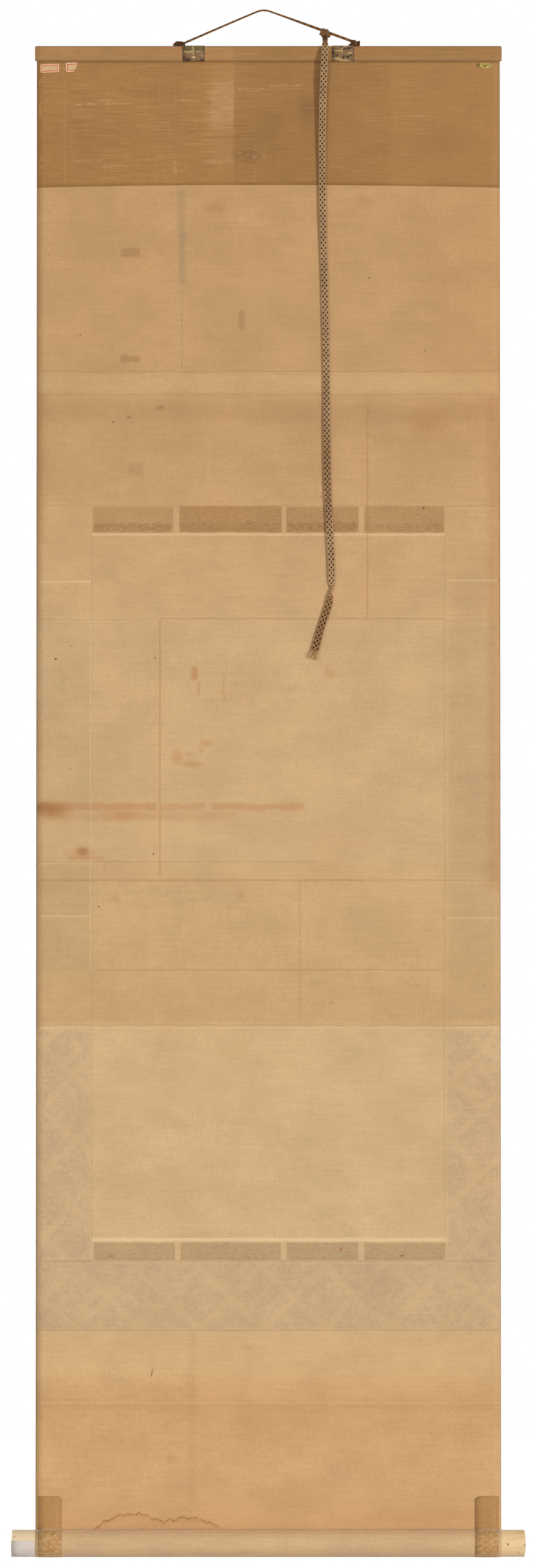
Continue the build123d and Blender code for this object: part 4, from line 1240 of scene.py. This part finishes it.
def make_hanging_cord():
    width = bpy.context.scene.scroll_sizes.cord_width
    points, length = route_points("hanging route", HANGING_ROUTE, 0.45 * MM)
    pale, dark = bmesh.new(), bmesh.new()
    last = len(points) - 1
    round_braid(pale, dark, frames_along(points, (0, 1, 0)), width, 8.2 * MM,
                lambda n: hanging_taper(n / last))
    strands = [finish_yarn("Hanging cord", chosen("cord"), (0.30, 0.20, 0.12)),
               finish_yarn("Hanging cord dark", chosen("cord_dark"), (0.05, 0.04, 0.03))]
    cord = two_tone(pale, dark, "hanging_cord_braid", strands, "hanging_cord", "hanging_cord")
    # The knots' strands take a darker copy of the cord's brown.
    worn = [finish_yarn("Knot", chosen("cord", 0.80), (0.16, 0.09, 0.06)), strands[1]]
    knots = [make_knot(side, turns, worn) for side, turns in (("left", left_knot()), ("right", right_knot()))]


def coil(middle, run, deep, high, turns, start, lean):
    """Points of a few wound turns about a level line, from the coil's left end to its right."""
    count = round(turns * 26)
    points = []
    for n in range(count + 1):
        angle = start + 2 * math.pi * turns * n / count
        along = (run * (n / count - 0.5) + lean * math.cos(angle)) * MM
        points.append(Vector((middle[0] + along, middle[1] - deep * MM * math.sin(angle),
                              middle[2] + high * MM * math.cos(angle))))
    return points


def bend(*places):
    """Points along a short length of cord through columns, rows and depths."""
    return route_points("bend", [at(*place) for place in places], 0.5 * MM)[0]


def left_knot():
    """The flat left knot: two coils, the tail that lies over them and a stub, each with its width."""
    return [
        (2.1, coil(at(297.2, 74.0, 1.0), 6.4, 1.9, 1.0, 3.2, 0.4, 0.4)),
        (2.1, coil(at(290.0, 74.4, 0.9), 3.4, 1.9, 0.8, 1.8, 1.0, 0.5)),
        (2.3, bend((303.4, 73.2, 0.8), (300.5, 70.9, 1.4), (296, 70.6, 1.6), (291.4, 70.5, 1.7),
                   (290.2, 70.4, 1.7), (289.4, 71.2, 1.7), (287.2, 73.2, 1.8), (284.2, 76.0, 1.8))),
        (2.3, bend((300.4, 73.0, 1.6), (303.6, 74.0, 2.8), (302.6, 77.0, 3.2))),
    ]


def right_knot():
    """The fuller right knot: two coils and a stub, each with its width."""
    return [
        (2.7, coil(at(579.6, 71.4, 0.4), 4.4, 2.2, 2.2, 1.9, 2.6, 0.6)),
        (2.8, coil(at(587.8, 72.6, 0.9), 3.6, 2.4, 1.8, 1.6, 0.3, 0.7)),
        (2.5, bend((572.6, 74.6, 1.6), (575.5, 75.0, 3.0), (581, 75.2, 3.6), (587.5, 75.0, 3.4))),
    ]


def make_knot(side, turns, strands):
    """A knot of the cord, from the (width, points) of each length of it that shows."""
    pale, dark = bmesh.new(), bmesh.new()
    for width, points in turns:
        last = len(points) - 1
        round_braid(pale, dark, frames_along(points, (0.3, 1, 0.2)), width * MM, 8 * MM,
                    lambda n: 1.0 - 0.30 * ease((n - last + 4) / 4) - 0.30 * ease((4 - n) / 4), (0, 2))
    return two_tone(pale, dark, f"{side}_knot_turns", strands, "hanging_cord", f"{side}_cord_knot")


# Where the winding cord twists over, and half the length of that twist
TWIST_Z, TWIST_REACH = pz(971), 13 * MM


def winding_spread(z):
    """How wide the winding cord lies at a level: drawn in at its hitch and its twist, loose at its end."""
    pinch = 1 - 0.36 * math.exp(-((z - TWIST_Z) / (9 * MM)) ** 2)
    flare = 1 + 0.10 * ease((pz(1030) - z) / (20 * MM))
    return pinch * flare * (0.66 + 0.34 * ease((pz(62) - z) / (19 * MM)))


# Fixes the noise that bends the hitch and the loose threads
THREAD_SEED = 7


def make_winding_cord():
    noise.seed_set(THREAD_SEED)
    sizes = bpy.context.scene.scroll_sizes
    points, length = route_points("winding route", WINDING_ROUTE, 0.9 * MM)
    frames = []
    for point, side, face in frames_along(points, (1, 0, 0)):
        turn = math.pi * ease((TWIST_Z + TWIST_REACH - point.z) / (2 * TWIST_REACH))
        spin = Matrix.Rotation(turn, 3, side.cross(face))
        frames.append((point, spin @ side, spin @ face))
    pale, dark = bmesh.new(), bmesh.new()
    flat_braid(pale, dark, frames, sizes.braid_width, sizes.braid_depth, sizes.braid_pitch,
               lambda n: winding_spread(points[n].z))
    # The core's material is dark inner yarn and painted shade in the braid's holes.
    strands = [finish_braid(), finish_yarn("Braid core", chosen("braid_dark"), (0.02, 0.02, 0.02))]
    cord = two_tone(pale, dark, "winding_cord_braid", strands, "winding_cord", "winding_cord")
    loose = finish_yarn("Frayed yarn", (0.88, 0.70, 0.49), (0.62, 0.44, 0.27))
    on_it = [make_hitch(strands), make_fray(frames, loose), make_tuft(loose)]


# The hitch's two turns round the hanging cord: width, then columns, rows and depths
HITCH_TURNS = (
    (5.2, (532.0, 62.5, 3.6), (530.4, 58.0, 5.2), (529.0, 52.6, 4.6), (528.8, 48.3, 1.4), (529.4, 50.6, -3.0),
     (529.2, 56.6, -3.0), (526.2, 58.4, -0.6), (527.6, 58.9, 3.0), (531.5, 60.6, 4.0)),
    (5.0, (534.6, 63.0, 3.6), (536.0, 58.8, 5.2), (536.2, 54.2, 4.6), (536.2, 49.6, 1.2), (536.6, 52.0, -3.0),
     (538.4, 58.0, -3.0), (541.2, 60.8, -0.4), (540.0, 59.6, 3.2), (538.6, 55.2, 4.2), (539.6, 53.2, 1.0)),
)


def make_hitch(strands):
    """The winding cord's turns round the hanging cord: two over it, drawn together at the neck."""
    pale, dark = bmesh.new(), bmesh.new()
    for n, (width, *places) in enumerate(HITCH_TURNS):
        points = route_points("hitch", [at(*place) for place in places], 0.6 * MM)[0]
        frames = []
        for point, side, face in frames_along(points, (1, 0, 0)):
            stray = noise.noise_vector(point * 420 + Vector((n, 0, 0))) * 0.55 * MM
            frames.append((point + stray, side, face))
        last = len(frames) - 1
        flat_braid(pale, dark, frames, width * MM, 2.3 * MM, 15 * MM,
                   lambda k: 1 + 0.16 * math.sin(k * 0.9 + n) - 0.35 * ease((k - last + 5) / 5))
    return two_tone(pale, dark, "winding_cord_hitch_turns", strands, "winding_cord", "winding_cord_hitch")


def loose_threads(name, material, starts, length, width, fan, seed):
    """Fine loose threads from given places and headings, each of a few points that drift."""
    bm = bmesh.new()
    for n, (place, ahead) in enumerate(starts):
        points, heading = [], Vector(ahead).normalized()
        here = Vector(place)
        for step in range(9):
            points.append(here.copy())
            drift = noise.noise_vector(Vector((n * 1.7 + seed, step * 0.35, 0.5))) * fan
            drift.y *= 0.25
            heading = (heading + drift).normalized()
            here = here + heading * (length * (0.75 + 0.5 * ((n * 7) % 10) / 10) / 8)
        narrowing = [width * (1 - 0.06 * k) for k in range(9)]
        tube(bm, frames_along(points, (1, 0, 0.01)), narrowing.__getitem__, narrowing.__getitem__, 5)
    bmesh.ops.recalc_face_normals(bm, faces=bm.faces)
    return finish_piece(bm, name, [material], "winding_cord")


def make_fray(frames, material):
    """The unpicked end of the winding cord."""
    point, side, face = frames[-1]
    ahead = (frames[-1][0] - frames[-6][0]).normalized()
    starts = []
    for n in range(34):
        share = (n / 33 - 0.5) * 2
        starts.append((point + side * share * 3.9 * MM - ahead * 3 * MM + face * 0.4 * MM * math.sin(n * 2.4),
                       ahead + side * share * 0.55))
    return loose_threads("winding_cord_fray", material, starts, 9.5 * MM, 0.55 * MM, 0.22, 3.0)


def make_tuft(material):
    """A small pulled tuft on the winding cord's edge."""
    here = at(533.5, 806, 2.4)
    starts = []
    for n in range(12):
        place = here + Vector((0, 0.2 * MM * math.sin(n * 2), -0.4 * MM * n))
        starts.append((place, (-0.25 - 0.05 * (n % 3), 0.1, -1)))
    return loose_threads("winding_cord_tuft", material, starts, 6 * MM, 0.35 * MM, 0.30, 9.0)


def paper_line():
    over = over_stave(PAPER_THICK / 2, foot=0.2 * MM)
    fall = drop(0.0, FALL_Z, ROLLER_Z + ROLLER_RADIUS + 1.4 * MM)
    return over + fall + round_roller(PAPER_THICK / 2, 0.0)


def make_papers():
    line = paper_line()
    paper = cloth("paper_back", line, wrapped_sides(0.5 * MM), PAPER_THICK, finish_paper(), "backing_paper")
    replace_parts(paper, *[f"backing_paper_{n}" for n in range(1, 7)])
    line_length(line)


def close_ends(bm):
    """The wrap's cloth over the stave's two ends, pressed flat against the wood."""
    for way in (-1, 1):
        edge = [v for v in bm.verts if v.is_boundary and way * (v.co.x - MIDDLE_X) > HALF_AT_COVER * 0.97
                and v.co.z > SEAM_Z - 1 * MM]
        cap = bmesh.ops.contextual_create(bm, geom=edge)["faces"]
        bmesh.ops.inset_individual(bm, faces=cap, thickness=0.8 * MM)
        for vertex in cap[0].verts:
            vertex.co.x = MIDDLE_X + way * (HALF_AT_COVER + STAVE_FLARE + 0.3 * MM)


def make_top_silk():
    line = over_stave(PAPER_THICK + SILK_THICK / 2) + drop(SILK_Y, FALL_Z, BORDER_TOP_Z)
    finish = finish_silk("Top silk", chosen("stave_silk"), contrast=0.06, marks=wrap_marks, streak=0.10)
    hang_cloth("top_silk_cloth", line, wrapped_sides(0.0), SILK_THICK, finish, "top_silk", "top_silk",
               2 * HALF_AT_COVER, rests_on=["top_stave"], trim=close_ends)


def make_bottom_silk():
    line = drop(SILK_Y, BOTTOM_SILK_Z, ROLLER_Z + ROLLER_RADIUS + 1.6 * MM)
    line += round_roller(PAPER_THICK + SILK_THICK / 2, SILK_Y)
    finish = finish_silk("Bottom silk", chosen("roller_silk"), contrast=0.08)
    hang_cloth("bottom_silk_cloth", line, full_width, SILK_THICK, finish, "bottom_silk", "bottom_silk",
               2 * HALF_AT_CREASE, rests_on=["roller_rod"])


def make_cover():
    line = drop(PAPER_BACK_Y - COVER_THICK / 2, SEAM_Z, COVER_FOOT_Z, 6 * MM)
    finish = finish_silk("Cover silk", chosen("cover"), contrast=0.06, marks=cover_marks, streak=0.12)
    hang_cloth("rear_cover_cloth", line, full_width, COVER_THICK, finish, "cover_silk", "rear_cover_silk",
               2 * HALF_AT_COVER, "laid", bow=lambda share: 3.2 * MM * (1 - (2 * share - 1) ** 2))


def make_borders():
    pale = tuple(min(1.0, value) for value in chosen("border", 1.2))
    border = finish_figured("Border silk", chosen("border"), pale, (0.40, 0.33, 0.24))
    inner_left, inner_right = box("picture_panel")[0].x, box("picture_panel")[1].x
    sides = {"top": full_width, "bottom": full_width, "left": lambda z: (full_width(z)[0], inner_left),
             "right": lambda z: (inner_right, full_width(z)[1])}
    for side, reach in sides.items():
        node = f"middle_border_{side}"
        low, high = box(node)
        hang_cloth(node + "_cloth", drop(SILK_Y, high.z, low.z), reach, SILK_THICK, border,
                   "border_silk", node, high.x - low.x)


def hang_oblong(node, name, material, slot, step=9 * MM):
    """A silk or paper that fills a fixed node's oblong."""
    low, high = box(node)
    hang_cloth(name, drop(SILK_Y, high.z, low.z, step), between(low.x, high.x), SILK_THICK, material,
               slot, node, high.x - low.x)


def make_strips():
    accent = finish_figured("Accent silk", chosen("accent"), (0.62, 0.48, 0.26), (0.22, 0.16, 0.10), 2.2)
    for level, n in itertools.product(("upper", "lower"), range(1, 5)):
        node = f"{level}_accent_strip_{n}"
        hang_oblong(node, node + "_cloth", accent, "accent_silk", 6 * MM)


def make_streamers():
    over = over_stave(PAPER_THICK + SILK_THICK + 0.25 * MM, front_stop=0.0)
    for side, kind, finish in (("left", "olive", finish_olive()), ("right", "grey", finish_grey())):
        low, high = box(f"{side}_streamer")
        line = over + drop(over[-1][0], over[-1][1] - 3 * MM, low.z)
        hang_cloth(f"{side}_streamer_cloth", line, between(low.x, high.x), 0.5 * MM, finish,
                   f"{kind}_brocade", f"{side}_streamer", high.x - low.x, rests_on=["top_silk_cloth"],
                   moved=False)


def make_patches():
    """The patches over the crease and round the roller, each with its inner top corner rounded."""
    finish = finish_silk("Patch silk", chosen("patch"), contrast=0.09, weave=2400.0, marks=patch_marks)
    radius, depth, corner = WRAPPED_RADIUS + 0.15 * MM, PAPER_BACK_Y - 0.1 * MM, 4 * MM
    for side in ("left", "right"):
        low, high = box(f"{side}_roller_patch")

        def reach(z):
            cut = rounded(z - (high.z - corner), corner)
            return (low.x, high.x - cut) if side == "left" else (low.x + cut, high.x)

        line = drop(depth, high.z, ROLLER_Z + radius + 0.5 * MM, 3 * MM)
        line += arc_about((0.0, ROLLER_Z), radius, math.acos(depth / radius) + 0.01, 2 * math.pi, 5)
        hang_cloth(f"{side}_patch_cloth", line, reach, 0.2 * MM, finish, "patch_silk", f"{side}_roller_patch",
                   high.x - low.x, "laid", ["paper_back", "bottom_silk_cloth"], moved=False)


def patch_marks(paint):
    """Wear of the patches over the roller, and their pale fold at the crease."""
    wear = paint.grain((240, 240, 240), detail=4, rough=0.65).fade(0.46, 0.62)
    below = paint.z.fade(CREASE_Z + 2 * MM, CREASE_Z - 2 * MM)
    paint.stain(below * wear, 0.45, (0.84, 0.70, 0.52))
    paint.stain(abs(paint.z - CREASE_Z).fade(0.3 * MM, 1.2 * MM, 1.0, 0.0), 0.4, (0.88, 0.74, 0.56))


def label_paper(name, node, finish, size, corner, tilt, tear=0.0):
    """A pasted label: a thin flat oblong with rounded corners and, if torn, a ragged right side."""
    low, high = box(node)
    middle, half_x, half_y = (low + high) / 2, size[0] / 2, size[1] / 2
    bm = bmesh.new()
    bmesh.ops.create_grid(bm, x_segments=24, y_segments=14, size=0.5)
    bmesh.ops.scale(bm, vec=(*size, 1.0), verts=bm.verts)
    for vertex in bm.verts:
        x, y = vertex.co.x, vertex.co.y
        over_x, over_y = max(0.0, abs(x) - (half_x - corner)), max(0.0, abs(y) - (half_y - corner))
        far = math.hypot(over_x, over_y)
        if far > corner:
            vertex.co.x -= math.copysign(over_x * (1 - corner / far), x)
            vertex.co.y -= math.copysign(over_y * (1 - corner / far), y)
        if tear and x > 0:
            down = max(0.0, 0.5 - y / size[1])
            ragged = 0.5 * MM * noise.noise(Vector((y * 900, 0, 3)))
            vertex.co.x -= (x / half_x) * (tear * down ** 2.2 - ragged)
        vertex.co.z = 0.10 * MM * (abs(vertex.co.x) / half_x) ** 4
    lay_flat(bm.faces, bm.loops.layers.uv.new("flat"), lambda vertex: vertex.co.xy)
    for turn, axis in ((tilt, "Z"), (90, "X")):
        spin = Matrix.Rotation(math.radians(turn), 3, axis)
        bmesh.ops.rotate(bm, verts=bm.verts, cent=(0, 0, 0), matrix=spin)
    bmesh.ops.translate(bm, verts=bm.verts, vec=(middle.x, PAPER_BACK_Y - COVER_THICK - 0.07 * MM, middle.z))
    for vertex in bm.verts:
        vertex.co.y += sway(vertex.co.x, vertex.co.z)
    bmesh.ops.recalc_face_normals(bm, faces=bm.faces)
    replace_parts(finish_piece(bm, name, [finish], "label_paper", 0.12 * MM), node)


def make_labels():
    label_paper("corner_label_paper", "corner_label", finish_label("Label paper", (21.7 * MM, 10 * MM)),
                (21.7 * MM, 9.6 * MM), 1.6 * MM, 2.6)
    torn = finish_label("Torn label paper", (21.4 * MM, 10.4 * MM), (4 * MM, 0.0))
    label_paper("torn_label_paper", "torn_label", torn, (13.4 * MM, 10.4 * MM), 1.4 * MM, 2.0, 4.6 * MM)


def leaf(bm, middle, half_length, half_height, bulge, blunt, turn):
    """One fold of the slip: a long leaf that bulges away from the cover."""
    made = bmesh.ops.create_grid(bm, x_segments=18, y_segments=8, size=1.0)["verts"]
    lay_flat({face for vertex in made for face in vertex.link_faces}, bm.loops.layers.uv.verify(),
             lambda vertex: vertex.co.xy)
    for vertex in made:
        along, across = vertex.co.x, vertex.co.y
        tall = half_height * max(0.02, 1 - abs(along) ** blunt) ** 0.6
        crumple = 0.12 * MM * noise.noise(Vector((along * 5, across * 2, middle.z * 900)))
        out = bulge * (1 - across * across) * max(0.0, 1 - abs(along) ** 3) + crumple
        vertex.co = (along * half_length, -out, across * tall)
    bmesh.ops.rotate(bm, verts=made, cent=(0, 0, 0), matrix=Matrix.Rotation(turn, 3, "Y"))
    bmesh.ops.translate(bm, verts=made, vec=middle)


# The slip's folds, in millimetres: offsets from its middle, half length and height, bulge; bluntness, turn
SLIP_FOLDS = ((1.0, -0.4, 8.3, 2.9, 0.35, 2.2, 2), (-2.2, 1.3, 4.6, 1.5, 0.80, 2.0, 8),
              (-6.9, -0.1, 2.8, 1.5, 0.55, 2.0, 28))


def make_slip():
    """The folded slip: three thin folds that lie on each other."""
    low, high = box("folded_slip")
    middle = (low + high) / 2
    depth = PAPER_BACK_Y - COVER_THICK - 0.10 * MM
    bm = bmesh.new()
    for dx, dz, half_length, half_height, bulge, blunt, turn in SLIP_FOLDS:
        place = Vector((middle.x + dx * MM, depth - 0.08 * MM * abs(dx), middle.z + dz * MM))
        leaf(bm, place, half_length * MM, half_height * MM, bulge * MM, blunt, math.radians(turn))
    bmesh.ops.recalc_face_normals(bm, faces=bm.faces)
    slip = finish_piece(bm, "folded_slip_paper", [finish_slip()], "slip_paper", 0.15 * MM)
    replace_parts(slip, "folded_slip")


# Where the knob's label starts and stops, in degrees round the roller from its picture side
KNOB_LABEL_TURN = (166.5, 275)


def make_knob_label():
    """A white label that lies round the left knob's back."""
    low, high = box("knob_label")
    radius = ROLLER_Z - box("left_roller_knob")[0].z + 0.06 * MM
    (start, stop), corner = KNOB_LABEL_TURN, 2.2 * MM
    turns = [math.radians(start + (stop - start) * n / 24) for n in range(25)]
    line = [(radius * math.cos(t), ROLLER_Z + radius * math.sin(t)) for t in turns]
    corner_z = line[0][1] - corner
    piece = cloth("knob_label_paper", line, lambda z: (low.x, high.x - rounded(z - corner_z, corner)),
                  0.12 * MM, finish_knob_label(), "knob_label_paper", moved=False)
    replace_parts(piece, "knob_label")


def dress(node, material):
    """A finish for a solid that stays as it is."""
    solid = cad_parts[node]
    if not solid.material_slots:
        solid.data.materials.append(material)
    for each in solid.material_slots:
        each.material = material


def make_woods():
    knob = finish_wood("Knob wood", chosen("knob"), (
        (833, 2535, 2.2, 3, 0.8), (861, 2536, 3, 3, 0.6), (851, 2548, 2, 1.6, 0.5), (24, 2523, 3, 2, 0.4)))
    for side in ("left", "right"):
        dress(f"{side}_roller_knob", knob)
    dress("roller_rod", finish_wood("Roller wood", (0.72, 0.58, 0.40)))
    dress("top_stave", finish_wood("Stave wood", (0.70, 0.55, 0.36)))


def make_metal():
    metal = finish_metal()
    for side, part in itertools.product(("left", "right"), ("eyelet", "eyelet_washer")):
        dress(f"{side}_{part}", metal)


# Stage

EYE = (6.1 * MM, -6.5 * MM, -911.86 * MM)
SENSOR_WIDTH = 36.0
WARM_WHITE = (1.0, 0.985, 0.96, 1.0)


def make_camera():
    """A camera straight behind the scroll, whose view is as high as the stage says."""
    stage = bpy.context.scene.scroll_stage
    data = bpy.data.cameras.new("camera")
    data.sensor_width = SENSOR_WIDTH
    data.lens = SENSOR_WIDTH * stage.distance / stage.view_height
    camera = add_object("camera", data)
    camera.location = (EYE[0], EYE[1] - stage.distance, EYE[2])
    camera.rotation_euler = (math.radians(90), 0, 0)
    bpy.context.scene.camera = camera


def add_sun(name, turn, strength, angle):
    data = bpy.data.lights.new(name, "SUN")
    data.energy, data.angle = strength, math.radians(angle)
    add_object(name, data).rotation_euler = Vector(turn).to_track_quat("Z", "Y").to_euler()


def make_stage():
    """Two lamps for each side of the scroll, even light, and white where the surroundings are seen."""
    scene = bpy.context.scene
    stage = scene.scroll_stage
    scene.view_settings.view_transform = "Standard"
    for side, way in (("back", -1), ("picture side", 1)):
        add_sun(f"{side} key", (-0.84 * way, way, 0.22), stage.key, 4)
        add_sun(f"{side} fill", (0.36 * way, way, 0.22), stage.fill, 6)
    scene.world = bpy.data.worlds.new("studio")
    scene.world.use_nodes = True
    tree = Tree(scene.world.node_tree)
    tree.tree.nodes.clear()
    soft = tree.fill(tree.node("ShaderNodeBackground"), (WARM_WHITE, stage.ambient))
    white = tree.fill(tree.node("ShaderNodeBackground"), ((1.0, 1.0, 1.0, 1.0), 1.0))
    mixed = tree.fill(tree.node("ShaderNodeMixShader"), (seen_directly(tree), soft, white))
    tree.link(mixed, tree.node("ShaderNodeOutputWorld").inputs[0])
    make_floor()


def seen_directly(tree):
    """One where the surroundings are seen by the camera, in gloss or through glass."""
    path = tree.node("ShaderNodeLightPath").outputs
    kinds = ("Camera", "Glossy", "Transmission")
    camera, gloss, glass = (Value(tree, path[f"Is {kind} Ray"]) for kind in kinds)
    return camera | gloss | glass


def make_floor():
    bm = bmesh.new()
    bmesh.ops.create_grid(bm, x_segments=1, y_segments=1, size=6.0)
    bmesh.ops.translate(bm, verts=bm.verts, vec=(0, 0, ROLLER_Z - 160 * MM))
    mesh = mesh_from(bm, "floor")
    floor = add_object("floor", mesh)
    paint = Paint("Floor", roughness=0.9, specular=0.5)
    shader = paint.shader.inputs
    shader["Base Color"].default_value = (0.82, 0.82, 0.82, 1.0)
    shader["Emission Color"].default_value = (1.0, 1.0, 1.0, 1.0)
    paint.link(seen_directly(paint) * 0.40, shader["Emission Strength"])
    mesh.materials.append(paint.material)
    floor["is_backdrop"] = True


# Operators and panel


class SCROLL_OT_camera(bpy.types.Operator):
    """Add the camera, straight behind the scroll"""
    bl_idname = "scroll.camera"
    bl_label = "Camera"

    def execute(self, context):
        make_camera()
        return {"FINISHED"}


class SCROLL_OT_hanging_cord(bpy.types.Operator):
    """Braid the hanging cord and tie its two knots"""
    bl_idname = "scroll.hanging_cord"
    bl_label = "Hanging cord"

    def execute(self, context):
        make_hanging_cord()
        return {"FINISHED"}


class SCROLL_OT_winding_cord(bpy.types.Operator):
    """Braid the flat winding cord with its hitch and its frayed end"""
    bl_idname = "scroll.winding_cord"
    bl_label = "Winding cord"

    def execute(self, context):
        make_winding_cord()
        return {"FINISHED"}


class SCROLL_OT_papers(bpy.types.Operator):
    """Hang the backing paper from the stave and round the roller"""
    bl_idname = "scroll.papers"
    bl_label = "Backing paper"

    def execute(self, context):
        make_papers()
        return {"FINISHED"}


class SCROLL_OT_silks(bpy.types.Operator):
    """Lay the silks and the picture's bare ground on the paper"""
    bl_idname = "scroll.silks"
    bl_label = "Silks and picture ground"

    def execute(self, context):
        make_top_silk()
        make_bottom_silk()
        make_cover()
        make_borders()
        make_strips()
        hang_oblong("picture_panel", "picture_ground_sheet", finish_picture(), "picture_ground")
        return {"FINISHED"}


class SCROLL_OT_streamers(bpy.types.Operator):
    """Hang the two brocade streamers over the stave"""
    bl_idname = "scroll.streamers"
    bl_label = "Streamers"

    def execute(self, context):
        make_streamers()
        return {"FINISHED"}


class SCROLL_OT_patches(bpy.types.Operator):
    """Paste the patches round the roller near its ends"""
    bl_idname = "scroll.patches"
    bl_label = "Roller patches"

    def execute(self, context):
        make_patches()
        return {"FINISHED"}


class SCROLL_OT_labels(bpy.types.Operator):
    """Paste the bare labels and the folded slip"""
    bl_idname = "scroll.labels"
    bl_label = "Labels and slip"

    def execute(self, context):
        make_labels()
        make_slip()
        make_knob_label()
        return {"FINISHED"}


class SCROLL_OT_woods(bpy.types.Operator):
    """Finish the stave, the roller, the knobs and the eyelets"""
    bl_idname = "scroll.woods"
    bl_label = "Woods and metal"

    def execute(self, context):
        make_woods()
        make_metal()
        return {"FINISHED"}


class SCROLL_OT_stage(bpy.types.Operator):
    """Add the floor, the lamps and the white surroundings"""
    bl_idname = "scroll.stage"
    bl_label = "Stage"

    def execute(self, context):
        make_stage()
        return {"FINISHED"}


OPERATORS = (SCROLL_OT_camera, SCROLL_OT_hanging_cord, SCROLL_OT_winding_cord, SCROLL_OT_papers,
             SCROLL_OT_silks, SCROLL_OT_streamers, SCROLL_OT_patches, SCROLL_OT_labels, SCROLL_OT_woods,
             SCROLL_OT_stage)


class SCROLL_PT_panel(bpy.types.Panel):
    """The scroll's pieces, sizes and colours"""
    bl_label = "Scroll"
    bl_idname = "SCROLL_PT_panel"
    bl_space_type = "VIEW_3D"
    bl_region_type = "UI"
    bl_category = "Scroll"

    def draw(self, context):
        for group in (context.scene.scroll_sizes, context.scene.scroll_colours, context.scene.scroll_stage):
            column = self.layout.column(align=True)
            for name in group.__annotations__:
                column.prop(group, name)
        for operator in OPERATORS:
            self.layout.operator(operator.bl_idname)


GROUPS = {"scroll_sizes": ScrollSizes, "scroll_colours": ScrollColours, "scroll_stage": ScrollStage}


def register():
    for each in (*GROUPS.values(), *OPERATORS, SCROLL_PT_panel):
        bpy.utils.register_class(each)
    for name, group in GROUPS.items():
        setattr(bpy.types.Scene, name, PointerProperty(type=group))


def unregister():
    for name in GROUPS:
        delattr(bpy.types.Scene, name)
    for each in reversed((*GROUPS.values(), *OPERATORS, SCROLL_PT_panel)):
        bpy.utils.unregister_class(each)


def write_sizes():
    """The fixed frame's box and the dressed scroll's box, side by side."""
    boxes = {"cad": [list(corner) for corner in CAD_BOX], "visual": [list(corner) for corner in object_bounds()]}


def main():
    register()
    for operator in OPERATORS:
        module, name = operator.bl_idname.split(".")
        getattr(getattr(bpy.ops, module), name)()
    write_sizes()


if __name__ == "__main__":
    main()
